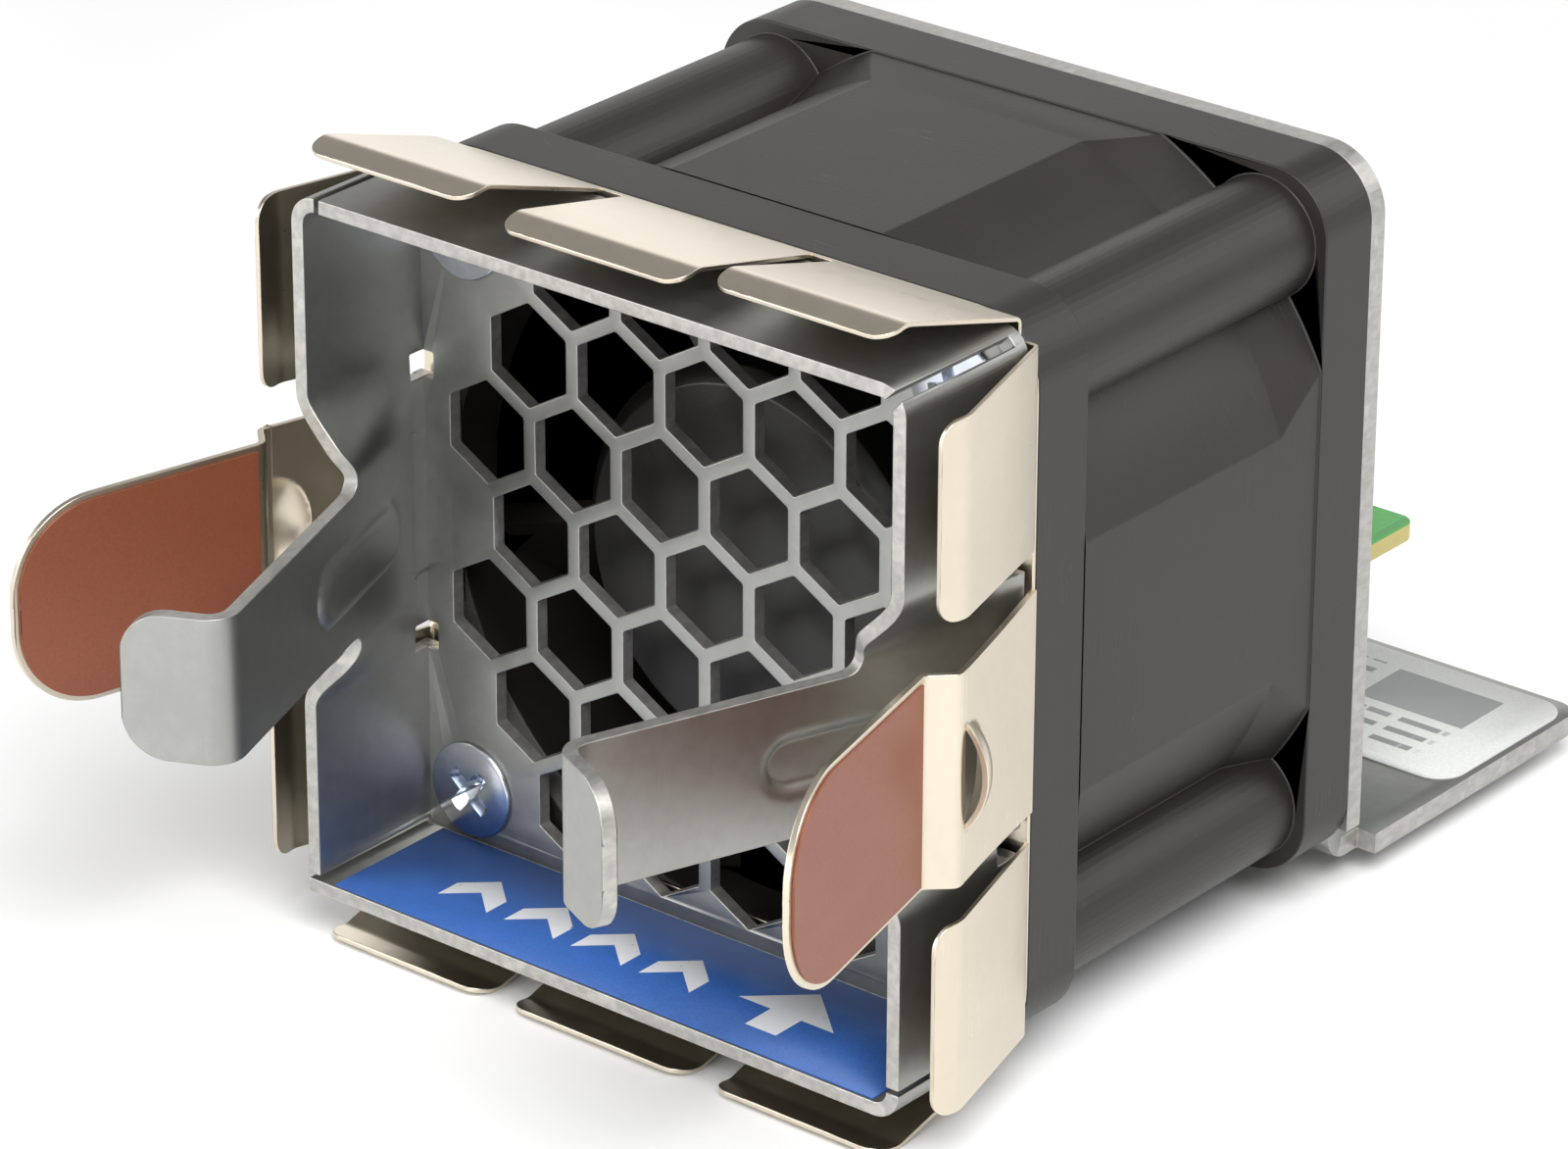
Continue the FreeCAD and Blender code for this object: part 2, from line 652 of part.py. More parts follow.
def make_latch(side, word):
    points = latch_points()
    thick = size("latch_thick")
    half = size("latch_half")
    run = (points[2] - points[1]).normalize()
    strip = bent_strip(points[1:])
    tip = points[-1]
    corners = [edge for edge in strip.Edges if near(edge.Length, thick)
               and (edge.CenterOfMass - V(tip.x, tip.y, edge.CenterOfMass.z)).Length < thick]
    strip = strip.makeFillet(size("paddle_round"), corners)
    outer, cut_point, out = catch_dome(points, 0.0)
    inner = catch_dome(points, thick)[0]
    # a block standing on the leaf's middle face, behind the cut edge
    wide = 4 * half
    slab = Part.makeBox(wide, wide, wide)
    turn = FreeCAD.Rotation(out, run * -1, V(0, 0, 1), "XYZ")
    slab.Placement = FreeCAD.Placement(cut_point - V(0, 0, wide / 2), turn)
    shell = outer.common(slab).cut(inner)
    deep_slab = slab.copy()
    deep_slab.translate(out * -thick * 2)
    knuckle = Part.makeCylinder(thick / 2, 2 * half, points[1] - V(0, 0, half))
    strip = strip.cut(inner.common(deep_slab)).fuse([shell, knuckle]).removeSplitter()
    root = bent_strip([points[0], points[1] - V(thick / 2 + size("flex_gap"), 0, 0)])
    for label, piece in ((word + "_latch", strip), (word + "_latch_root", root)):
        if side < 0:
            piece = piece.mirror(V(0, 0, 0), V(1, 0, 0))
        parts.append(feature_for(label, piece))


def make_films():
    """Four grip films, flat on the two faces of each paddle and a little smaller."""
    points = latch_points()
    jog, tip = points[3], points[4]
    run = (tip - jog).normalize()
    out = V(-run.y, run.x, 0)
    if out.x < 0:
        out = out * -1
    thick = size("film_thick")
    margin = size("film_margin")
    half = size("latch_half") - margin
    length = (tip - jog).Length - 2 * margin - 0.4
    start = jog + run * (margin + 0.4)
    for side, word in ((1, "right"), (-1, "left")):
        for face, place in ((1, "outer"), (-1, "inner")):
            base = size("latch_thick / 2") if face > 0 else -size("latch_thick / 2") - thick
            film = Part.makeBox(length, thick, 2 * half)
            corners = [edge for edge in film.Edges if near(edge.Length, thick)
                       and near(edge.Vertexes[0].X, length)]
            film = film.makeFillet(size("paddle_round") - margin, corners)
            turn = FreeCAD.Rotation(run, out, run.cross(out), "XYZ")
            low = start + out * base
            height = -half if run.cross(out).z > 0 else half
            film.Placement = FreeCAD.Placement(low + V(0, 0, height), turn)
            if side < 0:
                film = film.mirror(V(0, 0, 0), V(1, 0, 0))
            parts.append(feature_for("%s_%s_film" % (word, place), film))


# ---------------------------------------------------------------- intake cage

PLATE_BACK = "-(ring_thick + latch_thick)"
PLATE_FRONT = "-(ring_thick + latch_thick + cage_sheet)"
ROW_RISE = "hex_pitch * 0.8660254"
HEX_ROWS = "4 5 6 5 6 5 4"


def wall_section(lean):
    """Upright wall seen from above: straight at the root, then leaning in by lean."""
    outer = "cage_width / 2"
    inner = "cage_width / 2 - cage_sheet"
    front = "-cage_depth"
    return [(outer, PLATE_FRONT), (outer, "-lean_start"), ("%s - %s" % (outer, lean), front),
            ("%s - %s" % (inner, lean), front), (inner, "-lean_start"), (inner, PLATE_FRONT)]


def arm_rib(body):
    """Stiffening rib pressed in from outside, drawn on the leaning panel's own faces."""
    slope = math.atan(size("lean_in / (cage_depth - lean_start)"))
    thick = size("cage_sheet") * math.cos(slope)
    face = V(-size("lean_start"), 0, size("cage_width / 2"))
    turn = FreeCAD.Rotation(V(0, 1, 0), -math.degrees(slope))
    features = []
    for kind, depth, grow in (("Pocket", 0.0, 0.0), ("Pad", thick, 0.2)):
        radius = size("rib_width / 2") + grow
        first = -size("rib_start")
        last = first - size("rib_length - rib_width")
        sketch = body.newObject("Sketcher::SketchObject", "rib_sketch")
        sketch.AttachmentSupport = [(origin(body, "YZ_Plane"), "")]
        sketch.MapMode = "FlatFace"
        base = face + V(depth * math.sin(slope), 0, -depth * math.cos(slope))
        sketch.AttachmentOffset = FreeCAD.Placement(base, turn)
        fixed_edges(sketch, [
            Part.LineSegment(V(first, radius, 0), V(last, radius, 0)),
            Part.Arc(V(last, radius, 0), V(last - radius, 0, 0), V(last, -radius, 0)),
            Part.LineSegment(V(last, -radius, 0), V(first, -radius, 0)),
            Part.Arc(V(first, -radius, 0), V(first + radius, 0, 0), V(first, radius, 0))])
        rib = body.newObject("PartDesign::" + kind, "rib")
        rib.Profile = sketch
        rib.Length = size("rib_height")
        rib.setExpression("Length", bound("rib_height"))
        rib.Reversed = kind == "Pad"
        features.append(rib)
    return features


def make_front_cage():
    body = body_for("front_cage")
    half = "cage_width / 2"
    inner = "cage_width / 2 - cage_sheet"
    prism(body, "walls", "XZ_Plane", "-cage_depth", PLATE_BACK,
          [rectangle(half, "-" + half, half)])
    edge = size(half)
    rounded(body, "corners", "cage_round",
            lambda a, b, run: along_y(a, b) and near(abs(a.x), edge) and near(abs(a.z), edge)
            and not (a.x < 0 and a.z < 0))
    hollow = attach(body, "hollow_sketch", "XZ_Plane", "cage_depth + 1")
    polygon(hollow, rectangle(inner, "-(%s)" % inner, inner))
    pocket = body.newObject("PartDesign::Pocket", "hollow")
    pocket.Profile = hollow
    pocket.Length = size("cage_depth + 1 + " + PLATE_FRONT)
    pocket.setExpression("Length", bound("cage_depth + 1 + " + PLATE_FRONT))
    wall = size(inner)
    rounded(body, "inner_corners", "cage_round - cage_sheet",
            lambda a, b, run: along_y(a, b) and near(abs(a.x), wall) and near(abs(a.z), wall)
            and not (a.x < 0 and a.z < 0))
    # seams where the folded walls meet: above at the left, across the right top corner,
    # beside the right lower corner, and over the left end of the lower wall
    bend = "(cage_width / 2 - cage_round)"
    beyond = "cage_width / 2 + 1"
    seams = (
        block("-%s" % bend, "-%s + seam_width" % bend, inner + " - 0.1", beyond),
        block(inner + " - 0.1", beyond, "-%s" % bend, "-%s + seam_width" % bend),
        [(bend, "%s + corner_gap" % bend), ("%s + corner_gap" % bend, bend),
         (beyond, "%s - corner_gap" % beyond), (beyond, beyond),
         ("%s - corner_gap" % beyond, beyond)],
        block("-(%s)" % beyond, "-(%s) + 0.1" % inner, "-(%s)" % inner,
              "-(%s) + seam_width" % inner))
    for seam in seams:
        prism(body, "seam", "XZ_Plane", "-cage_depth - 1", PLATE_FRONT, [seam], cut=True)
    # side walls: the middle panel is cut free, then formed inwards
    for side, word in ((1, "right"), (-1, "left")):
        near_face = "%s - 0.2" % inner
        far_face = "%s + 1" % half
        if side < 0:
            near_face, far_face = "-(%s)" % far_face, "-(%s)" % near_face
        prism(body, word + "_window", "XZ_Plane", "-cage_depth - 1", PLATE_FRONT,
              [block(near_face, far_face, "-slot_far", "slot_far")], cut=True)
    lofts = []
    for up in SIDES:
        sketches = []
        for height, lean in (("slot_far", "0"), ("panel_half", "lean_in")):
            level = height if up > 0 else "-" + height
            sketch = attach(body, "form_sketch", "XY_Plane", level)
            polygon(sketch, wall_section(lean))
            sketches.append(sketch)
        loft = body.newObject("PartDesign::AdditiveLoft", "form")
        loft.Profile = sketches[0]
        loft.Sections = [sketches[1]]
        loft.Ruled = True
        lofts.append(loft)
    panel = prism(body, "panel", "XY_Plane", "-panel_half", "panel_half",
                  [wall_section("lean_in")])
    # arm: the panel carried on forward, with a tab turned outwards at its end
    slope = size("lean_in / (cage_depth - lean_start)")
    mid = size(half) - size("cage_sheet / 2")
    start = -size("cage_depth") + 1.0
    thick = size("cage_sheet")
    root = V(mid - slope * (-start - size("lean_start")), start, 0)
    reach = -size("arm_reach")
    end = V(mid - slope * (-reach - size("lean_start")), reach, 0)
    tab = end + V(size("tab_out"), -size("tab_run"), 0)
    outline = strip_outline([root, end, tab], thick * math.cos(math.atan(slope)))
    arm = prism(body, "arm", "XY_Plane", "-arm_half", "arm_half",
                [("edges", closed_lines(outline))])
    ribs = arm_rib(body)
    mirrored(body, "left_form", lofts + [panel, arm] + ribs, "YZ_Plane")
    tip = tab
    rounded(body, "tab_corners", "tab_round",
            lambda a, b, run: near(a.z, b.z) and near(abs(a.z), size("arm_half"))
            and run < 1.2 * thick and a.y < reach and abs(a.x) > abs(tip.x) - thick)
    rounded(body, "tab_bend", "arm_bend",
            lambda a, b, run: near(a.x, b.x) and near(a.y, b.y) and near(run, size("2 * arm_half"))
            and a.y < reach + 2 and abs(abs(a.x) - abs(end.x)) < 1.5)
    # relief slots where the middle panel leaves the plate, and beside each arm's root
    for across_sign in SIDES:
        for up in SIDES:
            left = "%s - slot_inner" % half
            right = "%s + 1" % half
            if across_sign < 0:
                left, right = "-(%s)" % right, "-(%s)" % left
            low, high = ("slot_near", "slot_far") if up > 0 else ("-slot_far", "-slot_near")
            prism(body, "relief", "XZ_Plane", "-slot_reach", PLATE_BACK + " + 0.5",
                  [block(left, right, low, high)], cut=True)
    for up in SIDES:
        low = "arm_half" if up > 0 else "-arm_half - notch_width"
        high = "arm_half + notch_width" if up > 0 else "-arm_half"
        prism(body, "notch", "XZ_Plane", "-cage_depth - 0.5", "-cage_depth + notch_depth",
              [block("-fan_size", "fan_size", low, high)], cut=True)
    # honeycomb: rows of hexagons with upright sides, each row a line pattern
    face = "(hex_pitch - hex_web) / 2"
    point = "(hex_pitch - hex_web) * 0.57735"
    for row, count in enumerate(map(int, HEX_ROWS.split()), start=-3):
        left = "-hex_pitch * %s" % ((count - 1) / 2)
        level = "%s * %d" % (ROW_RISE, row)
        hexagon = [(left, "%s + %s" % (level, point)),
                   ("%s + %s" % (left, face), "%s + %s / 2" % (level, point)),
                   ("%s + %s" % (left, face), "%s - %s / 2" % (level, point)),
                   (left, "%s - %s" % (level, point)),
                   ("%s - %s" % (left, face), "%s - %s / 2" % (level, point)),
                   ("%s - %s" % (left, face), "%s + %s / 2" % (level, point))]
        hole = prism(body, "hexagon", "XZ_Plane", PLATE_FRONT + " - 0.2", PLATE_BACK + " + 0.5",
                     [hexagon], cut=True)
        pattern_line(body, "row", hole, "X_Axis", "hex_pitch * %d" % (count - 1), count)
    hole = prism(body, "screw_hole", "XZ_Plane", PLATE_FRONT + " - 0.2", PLATE_BACK + " + 0.5",
                 [("circle", "hole_pitch / 2", "hole_pitch / 2", "hole_bore / 2")], cut=True)
    pattern_round(body, "screw_holes", hole, "4")
    parts.append(body)


def make_airflow_label():
    body = body_for("airflow_label")
    floor = "-(cage_width / 2 - cage_sheet)"
    wide = "cage_width / 2 - cage_round - label_margin"
    prism(body, "film", "XY_Plane", floor, floor + " + label_thick",
          [[("-(%s)" % wide, "-cage_depth + label_margin"),
            (wide, "-cage_depth + label_margin"),
            (wide, PLATE_FRONT + " - label_margin"),
            ("-(%s)" % wide, PLATE_FRONT + " - label_margin")]])
    parts.append(body)


# ---------------------------------------------------------------- screws

def pan_screw(seat, length, head_diameter, head_high, diameter):
    """Pan-head screw, head standing on y = seat and shank going to +Y."""
    radius = head_diameter / 2
    rim = seat - head_high * 0.45
    profile = Part.makePolygon([
        V(0, seat - head_high, 0), V(0, seat + length, 0),
        V(diameter / 2, seat + length, 0), V(diameter / 2, seat, 0), V(radius, seat, 0),
        V(radius, rim, 0), V(radius - head_high * 0.6, seat - head_high, 0), V(0, seat - head_high, 0)])
    return Part.Face(profile).revolve(V(0, 0, 0), Y_AXIS, 360)


def make_screws():
    offset = size("hole_pitch / 2")
    front = pan_screw(size(PLATE_FRONT), size("screw_length"), size("head_diameter"),
                      size("low_head"), size("screw_diameter"))
    rear = pan_screw(-size("fan_depth + bracket_sheet"), size("screw_length"),
                     size("head_diameter"), size("head_height"), size("screw_diameter"))
    rear.rotate(V(0, 0, 0), V(0, 0, 1), 180)
    for label, screw in (("front_screws", front), ("rear_screws", rear)):
        group = []
        for across in SIDES:
            for up in SIDES:
                copy = screw.copy()
                copy.rotate(V(0, 0, 0), Y_AXIS, 20 * across + 30 * up)
                copy.translate(V(across * offset, 0, up * offset))
                group.append(copy)
        parts.append(feature_for(label, Part.makeCompound(group)))


# ---------------------------------------------------------------- rear bracket

PLATE_REAR = "fan_depth + bracket_sheet"
FOOT_LOW = "-(fan_size / 2 + foot_drop)"
FOOT_TOP = FOOT_LOW + " + bracket_sheet"
TONGUE_TOP = "card_top - card_thick"


def make_rear_bracket():
    body = body_for("rear_bracket")
    half = "bracket_width / 2"
    prism(body, "plate", "XZ_Plane", "fan_depth", PLATE_REAR, [rectangle(half, FOOT_LOW, half)])
    prism(body, "foot", "XY_Plane", FOOT_LOW, FOOT_TOP,
          [rectangle(half, "fan_depth", "foot_reach")])
    edge = size(half)
    rounded(body, "top_corners", "corner_round",
            lambda a, b, run: along_y(a, b) and near(abs(a.x), edge) and near(a.z, edge))
    rear = size("foot_reach")
    rounded(body, "foot_corners", "foot_round",
            lambda a, b, run: near(a.y, rear) and near(b.y, rear) and near(abs(a.x), edge)
            and near(a.x, b.x))
    low = size(FOOT_LOW)
    rounded(body, "outer_bend", "bend_round + bracket_sheet",
            lambda a, b, run: near(a.z, low) and near(b.z, low)
            and near(a.y, size("fan_depth")) and near(b.y, size("fan_depth")))
    prism(body, "air_opening", "XZ_Plane", "fan_depth - 0.5", PLATE_REAR + " + 0.5",
          [("circle", "0", "0", "air_bore / 2")], cut=True)
    # the stem that is left in the opening, bent back into the tongue under the board
    prism(body, "stem", "XZ_Plane", "fan_depth", PLATE_REAR,
          [rectangle("stem_half", FOOT_TOP, TONGUE_TOP)])
    prism(body, "tongue", "XY_Plane", TONGUE_TOP + " - bracket_sheet", TONGUE_TOP,
          [rectangle("stem_half", "fan_depth", "tongue_end")])
    for side in SIDES:
        left = half + " - relief_width"
        right = half + " + 1"
        if side < 0:
            left, right = "-(%s)" % right, "-(%s)" % left
        prism(body, "bend_relief", "XZ_Plane", "fan_depth - 0.5", PLATE_REAR + " + 1.6",
              [block(left, right, FOOT_LOW + " - 1", FOOT_TOP + " + 1.2")], cut=True)
    hole = prism(body, "screw_hole", "XZ_Plane", "fan_depth - 0.5", PLATE_REAR + " + 0.5",
                 [("circle", "hole_pitch / 2", "hole_pitch / 2", "hole_bore / 2")], cut=True)
    pattern_round(body, "screw_holes", hole, "4")
    prism(body, "card_screw_holes", "XY_Plane", TONGUE_TOP + " - bracket_sheet - 0.5",
          TONGUE_TOP + " + 0.5",
          [("circle", "%s * card_screw_pitch / 2" % side, "card_screw_run",
            "card_screw / 2 + 0.1") for side in SIDES], cut=True)
    parts.append(body)


def make_board():
    board = body_for("connector_board")
    prism(board, "card", "XY_Plane", TONGUE_TOP, "card_top",
          [rectangle("card_half", "card_start", "card_end")])
    rear = size("card_end")
    rounded(board, "card_corners", "card_round",
            lambda a, b, run: near(a.y, rear) and near(b.y, rear) and near(a.x, b.x))
    prism(board, "screw_holes", "XY_Plane", TONGUE_TOP + " - 0.5", "card_top + 0.5",
          [("circle", "%s * card_screw_pitch / 2" % side, "card_screw_run",
            "card_screw / 2 + 0.1") for side in SIDES], cut=True)
    parts.append(board)

    contacts = []
    count = int(size("pad_count"))
    wide = size("pad_width")
    for i in range(count):
        middle = (i - (count - 1) / 2) * size("pad_pitch")
        contacts.append(Part.makeBox(
            wide, size("pad_length"), size("pad_thick"),
            V(middle - wide / 2, size("card_end - pad_length") - 0.3, size("card_top"))))
    parts.append(feature_for("board_contacts", Part.makeCompound(contacts)))

    screw = pan_screw(0, size("card_thick + bracket_sheet") + 0.8, size("card_head"),
                        size("card_head_high"), size("card_screw"))
    screw.rotate(V(0, 0, 0), V(1, 0, 0), -90)
    group = []
    for side in SIDES:
        copy = screw.copy()
        copy.translate(V(side * size("card_screw_pitch / 2"), size("card_screw_run"),
                         size("card_top")))
        group.append(copy)
    parts.append(feature_for("board_screws", Part.makeCompound(group)))

    sticker = body_for("foot_label")
    prism(sticker, "film", "XY_Plane", FOOT_TOP, FOOT_TOP + " + label_thick",
          [block("sticker_side - sticker_width / 2", "sticker_side + sticker_width / 2",
                 "sticker_run - sticker_length / 2", "sticker_run + sticker_length / 2")])
    rounded(sticker, "film_corners", "sticker_round",
            lambda a, b, run: near(a.x, b.x) and near(a.y, b.y))
    parts.append(sticker)


make_fan_housing()
make_impeller()
make_rotor_metal()
make_bearings()
make_preload_spring()
make_stator()
make_finger_frame()
make_latch(1, "right")
make_latch(-1, "left")
make_films()
make_front_cage()
make_airflow_label()
make_screws()
make_rear_bracket()
make_board()
doc.recompute()

# ---------------------------------------------------------------- checks and files

for item in doc.Objects:
    if "Invalid" in item.State or "Error" in item.State:
        raise RuntimeError("%s failed to build" % item.Name)
for item in doc.Objects:
    if item.TypeId in ("PartDesign::Pocket", "PartDesign::Groove"):
        if item.Shape.Volume > item.BaseFeature.Shape.Volume - 1e-6:
            raise RuntimeError("%s cuts nothing" % item.Name)
for part in parts:
    if part.Shape.isNull() or not part.Shape.isValid():
        raise RuntimeError("%s has no valid shape" % part.Label)

os.makedirs("parts", exist_ok=True)
for part in parts:
    part.Shape.exportStep("parts/%s.step" % part.Label)
    box = part.Shape.BoundBox
    print("%-16s solids %d  volume %9.3f  x %6.2f %6.2f  y %6.2f %6.2f  z %6.2f %6.2f" % (
        part.Label, len(part.Shape.Solids), part.Shape.Volume,
        box.XMin, box.XMax, box.YMin, box.YMax, box.ZMin, box.ZMax))
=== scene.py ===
import contextlib
import json
import math

import bmesh
import bpy
import numpy as np
from mathutils import Matrix, Vector


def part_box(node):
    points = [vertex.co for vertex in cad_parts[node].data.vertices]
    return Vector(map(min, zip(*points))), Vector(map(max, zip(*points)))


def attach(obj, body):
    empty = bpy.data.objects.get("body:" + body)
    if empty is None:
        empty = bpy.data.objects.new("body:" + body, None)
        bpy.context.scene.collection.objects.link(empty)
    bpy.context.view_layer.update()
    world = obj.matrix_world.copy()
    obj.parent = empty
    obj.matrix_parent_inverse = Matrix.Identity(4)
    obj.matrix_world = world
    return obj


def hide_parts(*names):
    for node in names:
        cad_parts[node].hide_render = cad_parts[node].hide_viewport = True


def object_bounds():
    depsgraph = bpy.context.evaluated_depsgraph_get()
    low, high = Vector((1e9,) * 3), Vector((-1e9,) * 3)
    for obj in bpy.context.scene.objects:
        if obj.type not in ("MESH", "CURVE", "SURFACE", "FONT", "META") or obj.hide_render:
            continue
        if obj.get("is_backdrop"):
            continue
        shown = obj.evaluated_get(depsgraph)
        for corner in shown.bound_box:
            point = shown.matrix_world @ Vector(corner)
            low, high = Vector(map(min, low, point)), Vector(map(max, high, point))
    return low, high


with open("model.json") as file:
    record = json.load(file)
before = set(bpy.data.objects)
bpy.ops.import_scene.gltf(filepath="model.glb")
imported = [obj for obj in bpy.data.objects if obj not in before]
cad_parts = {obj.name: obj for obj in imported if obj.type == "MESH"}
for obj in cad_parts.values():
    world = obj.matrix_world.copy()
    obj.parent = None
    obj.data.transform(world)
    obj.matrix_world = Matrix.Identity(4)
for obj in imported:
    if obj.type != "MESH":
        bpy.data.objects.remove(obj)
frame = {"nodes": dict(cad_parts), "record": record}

bl_info = {
    "name": "Cooling module looks",
    "version": (1, 0, 0),
    "blender": (4, 5, 0),
    "location": "View3D > Sidebar > Cooling module",
    "description": "Builds the visible pieces and finishes of a hot-swap fan module",
    "category": "Object",
}

MM = 0.001
NODES = frame["nodes"]


# ---------------------------------------------------------------- sizes from the frame

def node_box(node):
    """Lowest and highest corner of a frame node, in millimetres."""
    low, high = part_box(node)
    return np.array(low) / MM, np.array(high) / MM


FAN_HIGH = node_box("fan_housing")[1]
FAN_HALF = float(FAN_HIGH[0])
FAN_DEPTH = float(FAN_HIGH[1])
CARD_LOW, CARD_HIGH = node_box("connector_board")
FOOT_LOW = node_box("rear_bracket")[0]
STICKER_LOW = node_box("foot_label")[0]
FLOW_LOW, FLOW_HIGH = node_box("airflow_label")

# front face of the honeycomb plate and thickness of each sheet, in millimetres
PLATE_FRONT = -1.4
LATCH_SHEET = 0.35
FILM_SHEET = 0.12
CAGE_SHEET = 0.8
BRACKET_SHEET = 1.2
FINGER_SHEET = 0.25


# ---------------------------------------------------------------- shader expressions

def linear(red, green, blue):
    """Scene-linear colour of a display colour given in 0 to 255."""
    share = np.array([red, green, blue]) / 255.0
    low = share / 12.92
    high = ((share + 0.055) / 1.055) ** 2.4
    return tuple(float(v) for v in np.where(share <= 0.04045, low, high)) + (1.0,)


class Sock:
    """A socket in a material. Arithmetic on it adds Math nodes."""

    def __init__(self, graph, socket):
        self.graph = graph
        self.socket = socket

    def math(self, operation, *values):
        return self.graph.node("ShaderNodeMath", {"operation": operation},
                               {i: v for i, v in enumerate(values)})

    def __add__(self, other):
        return self.math("ADD", self, other)

    def __radd__(self, other):
        return self.math("ADD", other, self)

    def __sub__(self, other):
        return self.math("SUBTRACT", self, other)

    def __rsub__(self, other):
        return self.math("SUBTRACT", other, self)

    def __mul__(self, other):
        return self.math("MULTIPLY", self, other)

    def __abs__(self):
        return self.math("ABSOLUTE", self)

    def __lt__(self, other):
        return self.math("LESS_THAN", self, other)

    def __gt__(self, other):
        return self.math("GREATER_THAN", self, other)

    def part(self, name):
        return Sock(self.graph, self.socket.node.outputs[name])


class Graph:
    """A material under construction, with its Principled shader ready."""

    def __init__(self, name):
        self.material = bpy.data.materials.new(name)
        self.material.use_nodes = True
        self.tree = self.material.node_tree
        self.tree.nodes.clear()
        self.bsdf = self.tree.nodes.new("ShaderNodeBsdfPrincipled")
        output = self.tree.nodes.new("ShaderNodeOutputMaterial")
        self.tree.links.new(self.bsdf.outputs[0], output.inputs["Surface"])
        coordinates = self.tree.nodes.new("ShaderNodeTexCoord")
        self.object = Sock(self, coordinates.outputs["Object"])

    def feed(self, target, value):
        if isinstance(value, Sock):
            self.tree.links.new(value.socket, target)
        else:
            target.default_value = value

    def node(self, kind, settings, inputs):
        """Any node: its settings first, then the values or links of its sockets."""
        made = self.tree.nodes.new(kind)
        for key, value in settings.items():
            setattr(made, key, value)
        for key, value in inputs.items():
            self.feed(made.inputs[key], value)
        return Sock(self, made.outputs[0])

    def finish(self, **values):
        """Fill the shader's inputs, whose spaces are written as _, and hand it over."""
        for key, value in values.items():
            self.feed(self.bsdf.inputs[key.replace("_", " ")], value)
        return self.material

    def place(self, scale=(1000, 1000, 1000), turn=(0, 0, 0), move=(0, 0, 0)):
        """Object coordinates, turned, stretched (1000 gives millimetres) and moved."""
        return self.node("ShaderNodeMapping", {"vector_type": "POINT"},
                         {"Vector": self.object, "Location": move,
                          "Rotation": tuple(math.radians(v) for v in turn), "Scale": scale})

    def noise(self, vector, scale, detail, rough=0.55):
        return self.node("ShaderNodeTexNoise", {"noise_dimensions": "3D"},
                         {"Vector": vector, "Scale": scale, "Detail": detail,
                          "Roughness": rough})

    def ramp(self, value, low, high):
        """Smooth step from 0 to 1 of a value between low and high."""
        return self.node("ShaderNodeMapRange", {"interpolation_type": "SMOOTHSTEP"},
                         {"Value": value, "From Min": low, "From Max": high})

    def dots(self, vector, scale, inner, outer):
        """Scattered round dots: 1 within the inner distance of a cell's point, 0 past
        the outer one."""
        cells = self.node("ShaderNodeTexVoronoi", {"feature": "F1"},
                          {"Vector": vector, "Scale": scale})
        return 1.0 - self.ramp(cells, inner, outer)

    def mix(self, share, first, second):
        made = self.tree.nodes.new("ShaderNodeMix")
        made.data_type = "RGBA"
        self.feed(made.inputs[0], share)
        self.feed(made.inputs[6], first)
        self.feed(made.inputs[7], second)
        return Sock(self, made.outputs[2])

    def split(self, vector):
        return self.node("ShaderNodeSeparateXYZ", {}, {0: vector})

    def vary(self, value, colour, dark, light, low=0.3, high=0.7):
        """From a darker to a lighter shade of a colour as the value rises."""
        return self.mix(self.ramp(value, low, high), shade(colour, dark), shade(colour, light))

    def bump(self, height, strength, distance):
        return self.node("ShaderNodeBump", {},
                         {"Height": height, "Strength": strength, "Distance": distance})


def shade(colour, factor):
    """A colour times a factor, held to white."""
    return tuple(min(1.0, c * factor) for c in colour[:3]) + (1.0,)


# ---------------------------------------------------------------- finishes

def scratches(graph, turn, spread, width, seed):
    """Thin long lines: the places where a stretched noise crosses its middle value,
    kept only where a broad noise is high."""
    along = graph.noise(graph.place((90 * spread, 1400 * spread, 90 * spread), turn,
                                    (seed, seed, seed)), 1.0, 2.0)
    keep = graph.ramp(graph.noise(graph.place(move=(seed + 7, seed, 3)), 0.22, 1.0), 0.56, 0.68)
    line = 1.0 - graph.ramp(abs(along - 0.5), 0.0, width)
    return line * keep


def plastic(name, colour, rough=0.46, specks=0.5):
    """Moulded plastic: fine spark-eroded grain, cloudy gloss, small glossy specks painted
    lighter as painted glints, and a few paler hairline scratches."""
    g = Graph(name)
    mm = g.place()
    cloud = g.noise(mm, 0.12, 3.0)
    grain = g.noise(mm, 5.5, 4.0, 0.7)
    speck = g.dots(mm, 1.3, 0.03, 0.075)
    sparse = g.ramp(g.noise(g.place(move=(5, 2, 9)), 0.35, 2.0), 0.54, 0.64)
    speck_glint = speck * sparse * specks
    hair = scratches(g, (20, 35, 15), 1.0, 0.010, 3.0) * specks
    tone = g.vary(cloud, colour, 0.93, 1.07)
    # painted glints: the specks are painted 3.2 times lighter than the plastic; the hairline
    # scratches are paler as wear
    tone = g.mix(speck_glint * 0.6 + hair * 0.35, tone, shade(colour, 3.2))
    gloss = rough + (cloud - 0.5) * 0.08 - speck_glint * 0.22 - hair * 0.12
    height = grain * 0.55 - speck_glint * 0.8 - hair * 0.5
    return g.finish(Base_Color=tone, Roughness=gloss, Normal=g.bump(height, 0.32, 0.00006),
                    Specular_IOR_Level=0.5)


